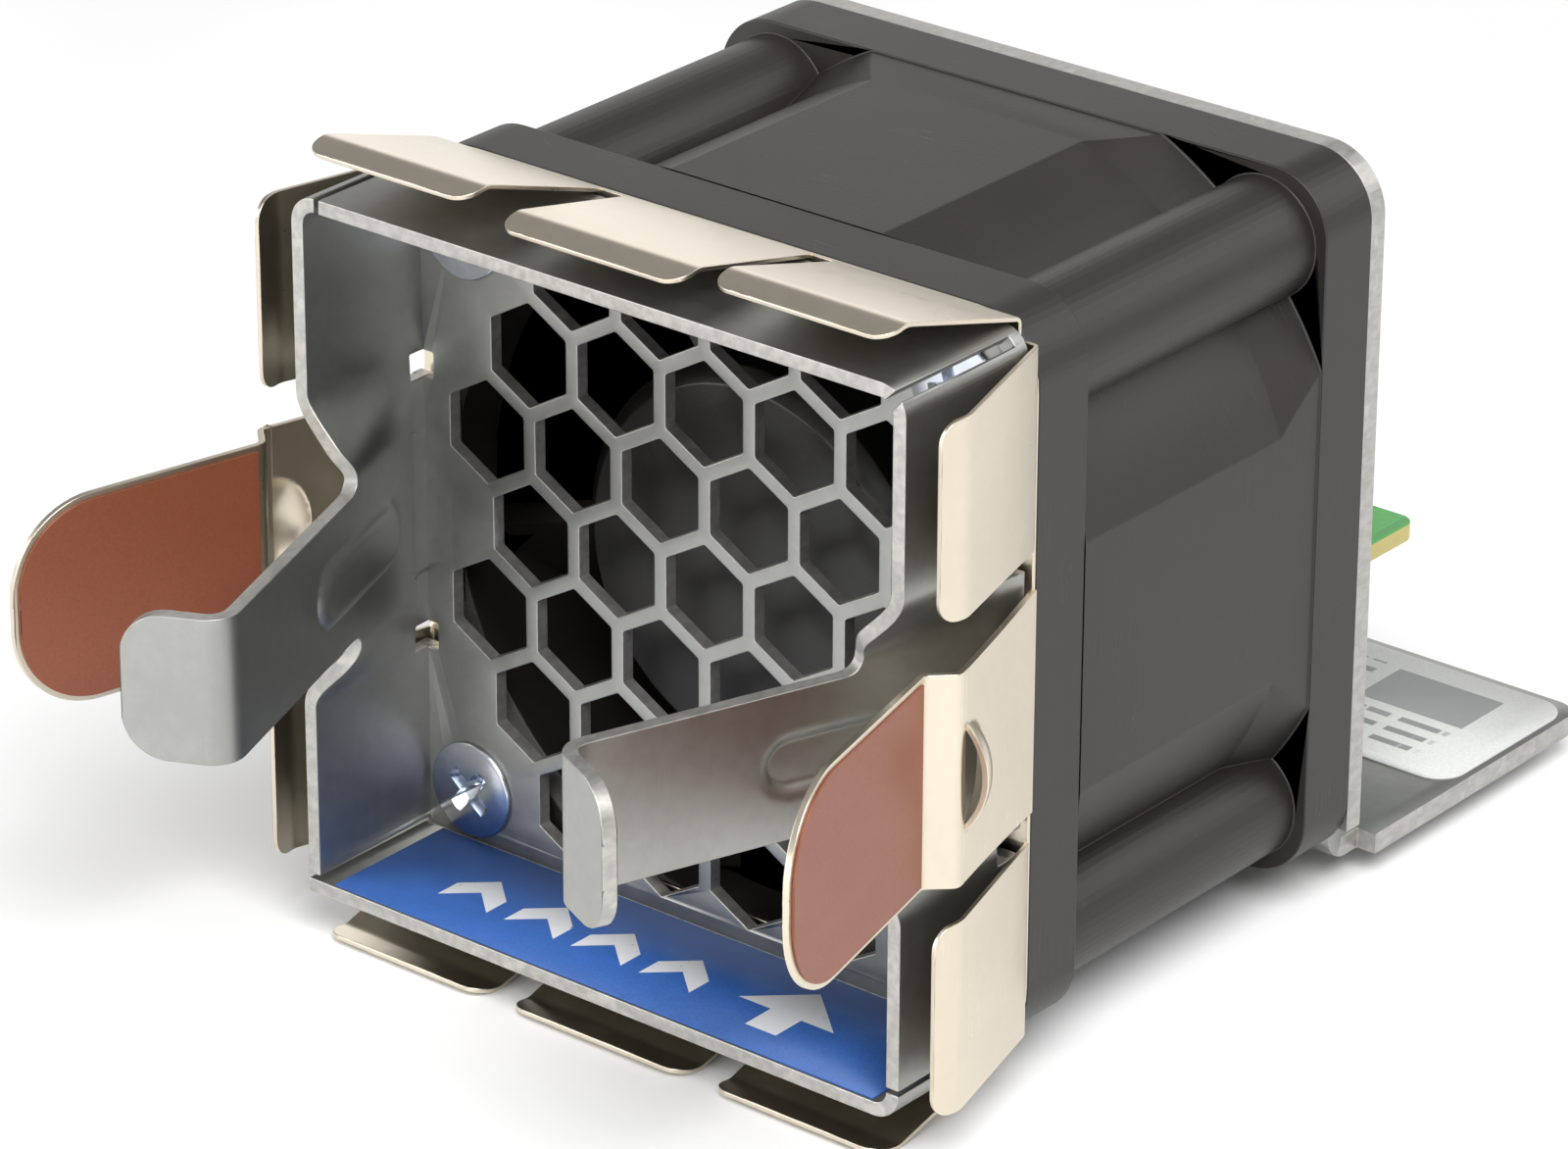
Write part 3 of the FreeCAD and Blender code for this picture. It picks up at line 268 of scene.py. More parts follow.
def rolled_metal(name, colour, rough, grain=0.5, blotch=0.12, wear=0.3):
    """Rolled or plated sheet: long fine rolling lines, a soft cloud in tone and gloss,
    a few rubbed hairlines."""
    g = Graph(name)
    mm = g.place()
    roll = g.noise(g.place((260, 2600, 2600)), 1.0, 3.0, 0.6)
    mottled = g.noise(mm, 1.1, 4.0, 0.6)
    cloud = g.noise(g.place(move=(3, 1, 4)), 0.09, 2.0)
    hair = scratches(g, (10, 0, 55), 0.8, 0.012, 1.0) * wear
    pit = g.dots(mm, 2.1, 0.02, 0.06) * g.ramp(mottled, 0.5, 0.62) * wear
    tone = g.vary(cloud * 0.6 + mottled * 0.4, colour, 1 - blotch, 1 + blotch, 0.35, 0.65)
    tone = g.mix(hair * 0.5, tone, shade(colour, 1.45))
    tone = g.mix(pit * 0.6, tone, shade(colour, 0.45))
    gloss = rough + (roll - 0.5) * 0.16 * grain + (mottled - 0.5) * 0.08 - hair * 0.1
    height = roll * 0.3 * grain + mottled * 0.06 - pit * 0.4
    return g.finish(Base_Color=tone, Metallic=1.0, Roughness=gloss,
                    Normal=g.bump(height, 0.14, 0.00005))


def sheared_edge(name, colour):
    """Sheared edge of a sheet: satin, finely striped, with a few brighter nicks."""
    g = Graph(name)
    stripes = g.noise(g.place((1900, 900, 1900)), 1.0, 2.0, 0.6)
    nick = g.ramp(g.noise(g.place((900, 900, 900), move=(4, 4, 4)), 1.0, 1.0), 0.62, 0.7)
    tone = g.vary(stripes, colour, 0.84, 1.08)
    tone = g.mix(nick * 0.4, tone, shade(colour, 1.35))
    return g.finish(Base_Color=tone, Metallic=0.8, Roughness=0.42 + (stripes - 0.5) * 0.16,
                    Normal=g.bump(stripes, 0.1, 0.00004))


def grip_film(name, colour):
    """Tinted grip film: satin, with a fine grain, a faint ripple and a little dust."""
    g = Graph(name)
    mm = g.place()
    ripple = g.noise(g.place((500, 500, 1300)), 0.35, 2.0)
    grain = g.noise(mm, 6.0, 3.0, 0.6)
    dust = g.dots(mm, 1.9, 0.03, 0.08) * g.ramp(g.noise(mm, 0.8, 2.0), 0.5, 0.6)
    tone = g.vary(grain, colour, 0.93, 1.07)
    tone = g.mix(dust * 0.2, tone, shade(colour, 1.5))
    return g.finish(Base_Color=tone, Metallic=0.15, Roughness=0.36 + ripple * 0.1 + dust * 0.15,
                    Normal=g.bump(grain, 0.08, 0.00004), Coat_Weight=0.1, Coat_Roughness=0.2)


def flow_label(name, colour):
    """Blue film with four plain white chevrons and an arrow that point along the airflow.
    u is the distance across from a mark's middle, v the distance along the airflow from
    the label's middle: a chevron is a band about v = 0.7 - 0.9 |u|, the arrow's head
    lies under v = 2.5 - 0.9 |u| and its shaft is a plain bar."""
    g = Graph(name)
    mm = g.place()
    across = g.split(mm)
    v = across.part("Y") - float(FLOW_LOW[1] + FLOW_HIGH[1]) / 2
    pitch = 4.6
    u = abs(g.node("ShaderNodeMath", {"operation": "WRAP"},
                   {0: across + pitch * 1.5, 1: pitch / 2, 2: -pitch / 2}))
    chevrons = (abs(v + u * 0.9 - 0.7) < 0.8) * (u < 1.7) * (abs(across + pitch) < pitch * 2)
    u = abs(across - 9.3)
    arrow = (v > -0.3) * ((v + u * 0.9) < 2.5) + (abs(v + 1.3) < 1.05) * (u < 1.0)
    wear = g.noise(mm, 2.4, 3.0)
    ink = (chevrons + arrow) * g.ramp(wear, 0.2, 0.34)
    grain = g.noise(mm, 7.0, 3.0)
    cloud = g.noise(mm, 0.5, 2.0)
    tone = g.vary(grain * 0.7 + cloud * 0.3, colour, 0.88, 1.1, 0.35, 0.65)
    tone = g.mix(ink, tone, linear(214, 216, 220))
    return g.finish(Base_Color=tone, Roughness=0.48 + (grain - 0.5) * 0.12,
                    Normal=g.bump(grain, 0.06, 0.00005))


def data_label(name):
    """White paper label with plain grey rules and one plain grey block, no print."""
    g = Graph(name)
    mm = g.place()
    across = g.split(mm)
    x = across - float(STICKER_LOW[0])
    y = across.part("Y") - float(STICKER_LOW[1])
    line = g.node("ShaderNodeMath", {"operation": "WRAP"}, {0: y - 2.3, 1: 0.7, 2: -0.7})
    beside = 1.0 - (x > 8.8) * (y > 5.6)
    rules = (abs(line) < 0.28) * (abs(x - 9.6) < 7.4) * (abs(y - 6.2) < 4.4) * beside
    words = g.ramp(g.noise(g.place((900, 30, 30)), 1.0, 1.0), 0.4, 0.46)
    block = (abs(x - 13.3) < 3.5) * (abs(y - 8.3) < 2.1)
    fibre = g.noise(mm, 7.0, 4.0, 0.7)
    ink = rules * words * 0.7 + block * 0.66
    tone = g.mix(g.ramp(fibre, 0.3, 0.7), linear(198, 199, 197), linear(212, 213, 211))
    tone = g.mix(ink, tone, linear(84, 86, 90))
    return g.finish(Base_Color=tone, Roughness=0.5 + (fibre - 0.5) * 0.2,
                    Normal=g.bump(fibre, 0.15, 0.00004))


def circuit_board(name, colour, edge_colour):
    """Green solder mask with faint darker tracks, small gold vias and bare edges."""
    g = Graph(name)
    mm = g.place()
    x = g.split(mm)
    y = x.part("Y")
    z = x.part("Z")
    lane = g.node("ShaderNodeMath", {"operation": "WRAP"}, {0: x, 1: 1.25, 2: -1.25})
    tracks = (1.0 - g.ramp(abs(lane), 0.24, 0.32)) * (y > float(CARD_HIGH[1]) - 9.0)
    via = g.dots(g.place((1000, 1000, 0)), 0.42, 0.11, 0.14) * (y < 38.0)
    weave = g.noise(mm, 3.4, 4.0, 0.65)
    tone = g.vary(weave, colour, 0.88, 1.1)
    tone = g.mix(tracks * 0.5, tone, shade(colour, 0.66))
    tone = g.mix(via, tone, (0.75, 0.52, 0.2, 1.0))
    face = (z > float(CARD_HIGH[2]) - 0.03) + (z < float(CARD_LOW[2]) + 0.03)
    tone = g.mix(face, edge_colour, tone)
    return g.finish(Base_Color=tone, Metallic=via * face * 0.8,
                    Roughness=0.34 + (weave - 0.5) * 0.2,
                    Normal=g.bump(weave * 0.3 + tracks * 0.7, 0.25, 0.00006))


def winding(name):
    """Enamelled copper wire laid side by side round the poles, with painted shade between
    the turns and painted light on their tops.
    """
    g = Graph(name)
    turns = g.node("ShaderNodeTexWave", {"wave_type": "BANDS", "bands_direction": "DIAGONAL"},
                   {"Vector": g.place(), "Scale": 1.6, "Distortion": 0.3})
    # painted shade and light: the darker bands stand for shade between the turns, the lighter ones
    # for light on their tops
    tone = g.mix(turns, (0.28, 0.07, 0.02, 1.0), (0.72, 0.3, 0.12, 1.0))
    return g.finish(Base_Color=tone, Metallic=0.85, Roughness=0.35,
                    Normal=g.bump(turns, 0.5, 0.0001))


# ---------------------------------------------------------------- meshes

def link(name, mesh, *materials, smooth=True):
    """An object for a mesh, with its materials, in the scene."""
    mesh.polygons.foreach_set("use_smooth", np.full(len(mesh.polygons), smooth))
    piece = bpy.data.objects.new(name, mesh)
    bpy.context.scene.collection.objects.link(piece)
    mesh.materials.clear()
    for material in materials:
        mesh.materials.append(material)
    return piece


def surface(name, points, faces, *materials, smooth=True):
    """A mesh from an array of points in millimetres and a list of faces."""
    mesh = bpy.data.meshes.new(name)
    mesh.from_pydata(np.asarray(points, float).reshape(-1, 3) * MM, [],
                     [list(map(int, face)) for face in faces])
    mesh.validate()
    return link(name, mesh, *materials, smooth=smooth)


@contextlib.contextmanager
def editing(mesh, merge=0.0):
    """The mesh as a bmesh to work on, written back at the end. Points closer than merge
    millimetres are made one first."""
    work = bmesh.new()
    work.from_mesh(mesh)
    if merge:
        bmesh.ops.remove_doubles(work, verts=work.verts, dist=merge * MM)
    yield work
    work.to_mesh(mesh)
    work.free()


def quads(rows, columns):
    """Indices of the quads of a rows x columns grid whose rows are closed loops."""
    row = np.arange(rows - 1)[:, None]
    column = np.arange(columns)[None, :]
    following = (column + 1) % columns
    corners = [row * columns + column, row * columns + following,
               (row + 1) * columns + following, (row + 1) * columns + column]
    return np.stack(np.broadcast_arrays(*corners), axis=-1).reshape(-1, 4)


def finish_edges(piece, width, angle=32.0):
    """Smooth faces, with every edge sharper than the angle given a small round."""
    mesh = piece.data
    mesh.set_sharp_from_angle(angle=math.radians(angle))
    bevel = piece.modifiers.new("rounds", "BEVEL")
    bevel.limit_method = "ANGLE"
    bevel.angle_limit = math.radians(angle)
    bevel.width = width * MM
    bevel.segments = 2
    bevel.use_clamp_overlap = False
    bevel.miter_outer = "MITER_ARC"
    bevel.harden_normals = True
    return piece


def outward(piece):
    """Turn every face to the outside."""
    with editing(piece.data, 0.0005) as work:
        bmesh.ops.recalc_face_normals(work, faces=work.faces)
    return piece


def dressed(node, width, *materials, angle=32.0, join=True):
    """A merged copy of a frame node with its flat faces joined up and its edges rounded,
    shown in the node's place."""
    mesh = NODES[node].data.copy()
    with editing(mesh, 0.001) as work:
        if join:
            bmesh.ops.dissolve_limit(work, angle_limit=math.radians(0.6), verts=work.verts,
                                     edges=work.edges)
    piece = link(node + "_shown", mesh, *materials)
    if width:
        finish_edges(piece, width, angle)
    stand_for(piece, node)
    return piece


def formed(node, points, faces, width, material):
    """A piece from points in millimetres and faces, with rounded edges, shown in the
    place of its node."""
    piece = outward(surface(node + "_shown", points, faces, material))
    stand_for(finish_edges(piece, width), node)


def stand_for(piece, *nodes):
    """Put a piece on its node's body in that node's place and hide the nodes. The node's
    material slot is looked up but not given to the piece.
    """
    node = nodes[0]
    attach(piece, body_of(node))
    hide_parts(*nodes)
    slot_of(node)


def body_of(node):
    bodies = frame["record"]["behaviour"]["bodies"]
    return next(body for body, members in bodies.items() if node in members)


def slot_of(node):
    parts = frame["record"]["subparts"]
    return next(part["material_slot"] for part in parts if part["node"] == node)


def paint_faces(piece, chosen):
    """Give the second material to the faces for which chosen(centre, normal) holds."""
    mesh = piece.data
    count = len(mesh.polygons)
    centre = np.empty(count * 3)
    normal = np.empty(count * 3)
    mesh.polygons.foreach_get("center", centre)
    mesh.polygons.foreach_get("normal", normal)
    slots = np.empty(count, np.int32)
    mesh.polygons.foreach_get("material_index", slots)
    slots[chosen(centre.reshape(-1, 3) / MM, normal.reshape(-1, 3))] = 1
    mesh.polygons.foreach_set("material_index", slots)


def bend_path(corners, radii, steps=7):
    """A line through the corners with each inner corner replaced by an arc: the arc
    touches both runs at radius x tan(half the turn) from the corner."""
    corners = np.asarray(corners, float)
    points = [corners[:1]]
    for before, corner, after, radius in zip(corners, corners[1:], corners[2:], radii):
        go_in = (corner - before) / np.linalg.norm(corner - before)
        go_out = (after - corner) / np.linalg.norm(after - corner)
        turn = math.acos(float(np.clip(go_in @ go_out, -1, 1)))
        back = radius * math.tan(turn / 2)
        side = go_out - go_in * (go_in @ go_out)
        side = side / np.linalg.norm(side)
        start = corner - go_in * back
        angle = np.linspace(0, turn, steps)[:, None]
        points.append(start + go_in * radius * np.sin(angle)
                      + side * radius * (1 - np.cos(angle)))
    points.append(corners[-1:])
    return np.concatenate(points)


def distances(path):
    """How far along a path each of its points lies."""
    steps = np.linalg.norm(np.diff(path, axis=0), axis=1)
    return np.concatenate([[0.0], np.cumsum(steps)])


def resample(path, marks):
    """Points of a path at the given distances along it."""
    run = distances(path)
    return np.stack([np.interp(marks, run, path[:, i]) for i in range(path.shape[1])], axis=1)


def ribbon(path, across, low, high, thick, lift=None, columns=9):
    """A bent strip as a closed grid. Each row is a loop: the upper face from edge to edge,
    then the lower face back. A point is the centre line, plus the width direction times a
    place between the low and high edge, plus the normal times half the thickness and the
    local lift. Returns points and faces."""
    rows = len(path)
    tangent = np.gradient(path, axis=0)
    tangent /= np.linalg.norm(tangent, axis=1)[:, None]
    across = np.asarray(across, float)
    normal = np.cross(tangent, across)
    share = np.linspace(0, 1, columns)
    if lift is None:
        lift = np.zeros((rows, columns))
    place = low[:, None] + (high - low)[:, None] * share
    flat = path[:, None, :] + across * place[..., None]
    upper = flat + normal[:, None, :] * (thick / 2 + lift)[..., None]
    lower = flat + normal[:, None, :] * (lift - thick / 2)[..., None]
    loop = np.concatenate([upper, lower[:, ::-1]], axis=1)
    faces = quads(rows, 2 * columns)
    column = np.arange(columns - 1)
    cap = np.stack([column, column + 1, 2 * columns - 2 - column, 2 * columns - 1 - column], 1)
    last = cap[:, ::-1] + (rows - 1) * 2 * columns
    return loop.reshape(-1, 3), np.concatenate([faces, cap, last])


def tip_inset(left, radius):
    """How far a strip's edges stand in at a distance left from its end, for round tip
    corners: radius less the height of a quarter circle."""
    reach = np.clip(radius - left, 0, radius)
    return radius - np.sqrt(radius ** 2 - reach ** 2)


def to_tip(run, radius, count, first=-1.0):
    """Distances past the first along a path: those of its own points, then closer steps
    over its round tip, the end less the radius x (1 - sine) of even angles."""
    end = run[-1]
    keep = run[(run > first) & (run < end - radius - 0.05)]
    close = end - radius * (1 - np.sin(np.linspace(0, math.pi / 2, count)))
    return np.concatenate([keep, close])


def smooth_step(value):
    """Held to 0 to 1 and eased at both ends: v squared times (3 - 2 v)."""
    value = np.clip(value, 0, 1)
    return value ** 2 * (3 - 2 * value)


def from_axis(angle):
    """How far each angle lies from the nearest of the four axis directions."""
    return np.abs((angle + math.pi / 4) % (math.pi / 2) - math.pi / 4)


def joined(meshes):
    """Several (points, faces) pairs as one."""
    points, faces, count = [], [], 0
    for some, few in meshes:
        points.append(np.asarray(some, float))
        faces.extend((np.asarray(face) + count) for face in few)
        count += len(some)
    return np.concatenate(points), faces


def sheet_patch(middle, metal, thick):
    """A sheet over a grid of mid-surface points. Both faces stand half the thickness off
    along the cross product of the grid's two directions; metal says which cells are
    there, and each side between a full and an empty cell gets a wall. The first and last
    column stay open, because the sheet runs on in the folded walls there. Returns points,
    faces and the number of faces before the walls."""
    rows, columns = middle.shape[:2]
    normal = np.cross(np.gradient(middle, axis=0), np.gradient(middle, axis=1))
    normal /= np.linalg.norm(normal, axis=-1, keepdims=True)
    points = np.concatenate([(middle + normal * thick / 2).reshape(-1, 3),
                             (middle - normal * thick / 2).reshape(-1, 3)])
    index = np.arange(rows * columns).reshape(rows, columns)
    under = rows * columns
    a, b, c, d = index[:-1, :-1], index[1:, :-1], index[1:, 1:], index[:-1, 1:]
    faces = [np.stack([a, b, c, d], -1)[metal], np.stack([a, d, c, b], -1)[metal] + under]
    skins = sum(len(part) for part in faces)
    full = np.pad(metal, 1)
    full[:, 0] = full[:, -1] = True
    for step_row, step_column, p, q in ((-1, 0, d, a), (1, 0, b, c), (0, -1, a, b), (0, 1, c, d)):
        beside = full[1 + step_row:rows + step_row, 1 + step_column:columns + step_column]
        edge = metal & ~beside
        faces.append(np.stack([p, q, q + under, p + under], -1)[edge])
    return points, np.concatenate(faces), skins


def turned_about_y(points, degrees):
    """Points turned about the fan's axis."""
    angle = math.radians(degrees)
    c, s = math.cos(angle), math.sin(angle)
    turn = np.array([[c, 0, s], [0, 1, 0], [-s, 0, c]])
    return points @ turn.T


# ---------------------------------------------------------------- settings

class CoolingModuleLooks(bpy.types.PropertyGroup):
    """Colours and small sizes of the module's visible pieces."""
    plastic: bpy.props.FloatVectorProperty(
        name="Plastic", description="Moulded fan housing", subtype="COLOR", size=4,
        min=0.0, max=1.0, default=linear(34, 31, 28))
    sheet: bpy.props.FloatVectorProperty(
        name="Sheet", description="Zinc plated sheet of cage and bracket", subtype="COLOR",
        size=4, min=0.0, max=1.0, default=linear(160, 160, 156))
    edge: bpy.props.FloatVectorProperty(
        name="Sheared edge", description="Cut edges of the sheet", subtype="COLOR",
        size=4, min=0.0, max=1.0, default=linear(178, 176, 171))
    spring: bpy.props.FloatVectorProperty(
        name="Spring strip", description="Plated spring fingers and latches",
        subtype="COLOR", size=4, min=0.0, max=1.0, default=linear(214, 204, 186))
    film: bpy.props.FloatVectorProperty(
        name="Grip film", description="Film on the latch paddles", subtype="COLOR", size=4,
        min=0.0, max=1.0, default=linear(127, 70, 47))
    label: bpy.props.FloatVectorProperty(
        name="Flow label", description="Airflow label inside the cage", subtype="COLOR",
        size=4, min=0.0, max=1.0, default=linear(48, 96, 172))
    board: bpy.props.FloatVectorProperty(
        name="Board", description="Solder mask of the plug-in board", subtype="COLOR",
        size=4, min=0.0, max=1.0, default=linear(66, 158, 68))
    bend_radius: bpy.props.FloatProperty(
        name="Finger bend", description="Inside bend of the contact fingers, in mm",
        default=0.9, min=0.1, max=2.0)
    edge_round: bpy.props.FloatProperty(
        name="Edge round", description="Broken edge of moulded and sheet pieces, in mm",
        default=0.09, min=0.01, max=0.3)
    lamp_power: bpy.props.FloatProperty(
        name="Lamp level", description="Share of the soft lamps' plain level",
        subtype="FACTOR", default=1.0, min=0.0, max=3.0)


def looks():
    return bpy.context.scene.cooling_module_looks


def sheet_finish():
    """The plated sheet's face and edge finishes, made once and shared."""
    face = bpy.data.materials.get("zinc_face") or rolled_metal(
        "zinc_face", tuple(looks().sheet), rough=0.42, grain=0.5, blotch=0.07)
    edge = bpy.data.materials.get("zinc_edge") or sheared_edge(
        "zinc_edge", tuple(looks().edge))
    return face, edge


def spring_finish():
    return bpy.data.materials.get("plated_spring") or rolled_metal(
        "plated_spring", tuple(looks().spring), rough=0.3, grain=0.4, blotch=0.03, wear=0.3)


# ---------------------------------------------------------------- pieces

class MODULE_OT_housing(bpy.types.Operator):
    """Moulded housing with broken edges"""
    bl_idname = "module.housing"
    bl_label = "Fan housing"

    def execute(self, context):
        black = plastic("housing_plastic", tuple(looks().plastic))
        dressed("fan_housing", looks().edge_round, black, angle=14.0)
        return {"FINISHED"}


class MODULE_OT_rotor(bpy.types.Operator):
    """Impeller, and finishes of the motor's inner pieces"""
    bl_idname = "module.rotor"
    bl_label = "Rotor and motor"

    def execute(self, context):
        # painted shade: the impeller's plastic is painted at half the housing plastic's colour for
        # the shade deep inside the housing, behind the honeycomb
        dark = plastic("impeller_plastic_look", shade(tuple(looks().plastic), 0.5),
                       rough=0.38, specks=0.15)
        dressed("impeller", 0.08, dark, angle=40.0)
        inner = {
            "rotor_yoke": rolled_metal("yoke_look", linear(170, 168, 160), 0.35),
            "rotor_magnet": plastic("magnet_look", linear(52, 50, 50), 0.6, 0.1),
            "shaft": rolled_metal("shaft_look", linear(205, 205, 205), 0.18),
            "retaining_clip": rolled_metal("clip_look", linear(120, 118, 112), 0.4),
            "front_bearing": rolled_metal("bearing_look", linear(200, 200, 202), 0.2),
            "rear_bearing": rolled_metal("rear_bearing_look", linear(200, 200, 202), 0.2),
            "bearing_tube": rolled_metal("brass_look", linear(206, 170, 96), 0.3),
            "preload_spring": rolled_metal("washer_look", linear(190, 190, 188), 0.25),
            "stator_core": rolled_metal("core_look", linear(120, 122, 126), 0.5),
            "stator_coils": winding("winding_look"),
            "motor_board": plastic("motor_board_look", linear(26, 84, 46), 0.4, 0.2),
        }
        for node, material in inner.items():
            NODES[node].data.materials.clear()
            NODES[node].data.materials.append(material)
        return {"FINISHED"}


class MODULE_OT_fingers(bpy.types.Operator):
    """Gasket frame: a flat ring with ten bent contact fingers"""
    bl_idname = "module.fingers"
    bl_label = "Contact fingers"
    lip, reach = 8.7, 10.4
    middle_half = 6.0

    def finger(self, turn, low, high, extra):
        """A strip that lies on the ring, bends forward, leans out and turns in at a lip;
        its edges close in a little towards the tip, whose corners are round."""
        top = FAN_HALF + 2.35 + extra
        flat = -FINGER_SHEET / 2
        corners = [(0, flat, FAN_HALF - 1.9), (0, flat, FAN_HALF - 0.1), (0, -self.lip, top),
                   (0, -self.reach, top - 0.35)]
        bend = looks().bend_radius
        tip_round = 1.2
        path = bend_path(corners, (bend * 0.4, bend * 1.7))
        marks = to_tip(distances(path), tip_round, 9)
        taper = np.clip(marks - 3.0, 0, None) * 0.02
        inset = tip_inset(marks[-1] - marks, tip_round) + taper
        points, faces = ribbon(resample(path, marks), (1, 0, 0), low + inset, high - inset,
                               FINGER_SHEET)
        return turned_about_y(points, turn), faces

    def ring(self):
        """Flat ring: the outer and inner outline are squares with round corners. A point
        is where a ray at each angle meets the outline."""
        count = 240
        angle = np.linspace(0, 2 * math.pi, count, endpoint=False)

        def outline(half, corner):
            folded = from_axis(angle)
            flat = half / np.cos(folded)
            inner = half - corner
            toward = math.pi / 4 - folded
            middle = inner * math.sqrt(2)
            root = corner ** 2 - (middle * np.sin(toward)) ** 2
            round_off = middle * np.cos(toward) + np.sqrt(np.clip(root, 0, None))
            return np.where(flat * np.sin(folded) > inner, round_off, flat)

        outer = outline(FAN_HALF - 0.02, 3.5)
        inner = outline(FAN_HALF - 2, 3.5)
        rows = [np.stack([radius * np.cos(angle), np.full(count, y), radius * np.sin(angle)], 1)
                for radius, y in ((outer, -FINGER_SHEET), (inner, -FINGER_SHEET), (inner, 0.0),
                                  (outer, 0.0), (outer, -FINGER_SHEET))]
        return np.concatenate(rows), quads(len(rows), count)

    def execute(self, context):
        half, low, side_low, high = self.middle_half, 7.6, 8.0, FAN_HALF - 1.15
        fingers = [(0, -half, half, -0.55), (0, low, high, 0.0), (0, -high, -low, 0.3),
                   (180, -half, half, -0.2), (180, low, high, -0.2), (180, -high, -low, -0.2)]
        for turn in (90, 270):
            fingers += [(turn, side_low, high, 0.0), (turn, -high, -side_low, 0.0)]
        points, faces = joined([self.ring()] + [self.finger(*entry) for entry in fingers])
        formed("finger_frame", points, faces, 0.05, spring_finish())
        return {"FINISHED"}


class MODULE_OT_latches(bpy.types.Operator):
    """Side latches with their lanced catches, and the grip films"""
    bl_idname = "module.latches"
    bl_label = "Latches"
    corners = np.array([(20.2, -0.425, 0), (22.85, -9.7, 0), (21.55, -10.9, 0),
                        (25.2, -25.7, 0)])
    half = 5.75
    tip_round = 4.9
    margin = 0.3
    catch_cut = 9.2

    def leaf(self):
        """Right latch: two strips that meet at the cut line of the catch. Behind the cut
        the sheet is drawn out: its height is that of a ring about an upright line under
        the cut, less the line's depth, so the cut edge stands open as a crescent."""
        path = bend_path(self.corners, (0.45, 0.6))
        run = distances(path)
        cut = float(np.interp(self.catch_cut, -path[:, 1], run))

        def strip(marks, columns, lift):
            flare = 0.35 * np.clip(1 - marks / 9.0, 0, 1) ** 2
            edge = self.half + flare - tip_inset(run[-1] - marks, self.tip_round)
            return ribbon(resample(path, marks), (0, 0, 1), -edge, edge, LATCH_SHEET, lift,
                          columns)

        back = np.concatenate([np.linspace(0, cut - 2.6, 6), np.linspace(cut - 2.5, cut, 26)])
        columns = 71
        high, deep, wide = 1.2, 2.3, 2.9
        crown = (high ** 2 + deep ** 2) / (2 * high)
        rim = crown - high
        across = np.linspace(-self.half, self.half, columns)[None, :]
        bow = (high ** 2 + wide ** 2) / (2 * high)
        radius = crown - bow + np.sqrt(np.clip(bow ** 2 - across ** 2, 0, None))
        reach = (cut - back)[:, None]
        lift = np.sqrt(np.clip(radius ** 2 - reach ** 2, 0, None)) - rim
        lift = np.where(np.abs(across) < wide, np.clip(lift, 0, None), 0)
        front = np.concatenate([[cut], to_tip(run, self.tip_round, 16, cut + 0.03)])
        return joined([strip(back, columns, -lift), strip(front, 9, None)])

    def film(self, face):
        """Grip film on the inner (1) or outer (-1) face of the right paddle: a thin flat
        strip a little inside the paddle's outline, half the sheet and half the film off
        its middle."""
        start, end = self.corners[2:]
        along = (end - start) / np.linalg.norm(end - start)
        path = np.stack([start + along * self.margin * 1.5, end - along * self.margin])
        tip_round = self.tip_round - self.margin
        marks = to_tip(np.array([0.0, 4.0, 8.0, distances(path)[-1]]), tip_round, 16)
        edge = self.half - self.margin - tip_inset(marks[-1] - marks, tip_round)
        lift = np.full((len(marks), 9), face * (LATCH_SHEET + FILM_SHEET) / 2)
        return ribbon(resample(path, marks), (0, 0, 1), -edge, edge, FILM_SHEET, lift)

    def execute(self, context):
        spring = spring_finish()
        film = grip_film("film_look", tuple(looks().film))
        leaf, leaf_faces = self.leaf()
        for word, side in (("right", 1), ("left", -1)):
            formed(word + "_latch", leaf * (side, 1, 1), leaf_faces, 0.05, spring)
            dressed(word + "_latch_root", 0.04, spring)
            for place, sign in (("outer", -1), ("inner", 1)):
                points, faces = self.film(sign)
                formed("%s_%s_film" % (word, place), points * (side, 1, 1), faces, 0.03, film)
        return {"FINISHED"}


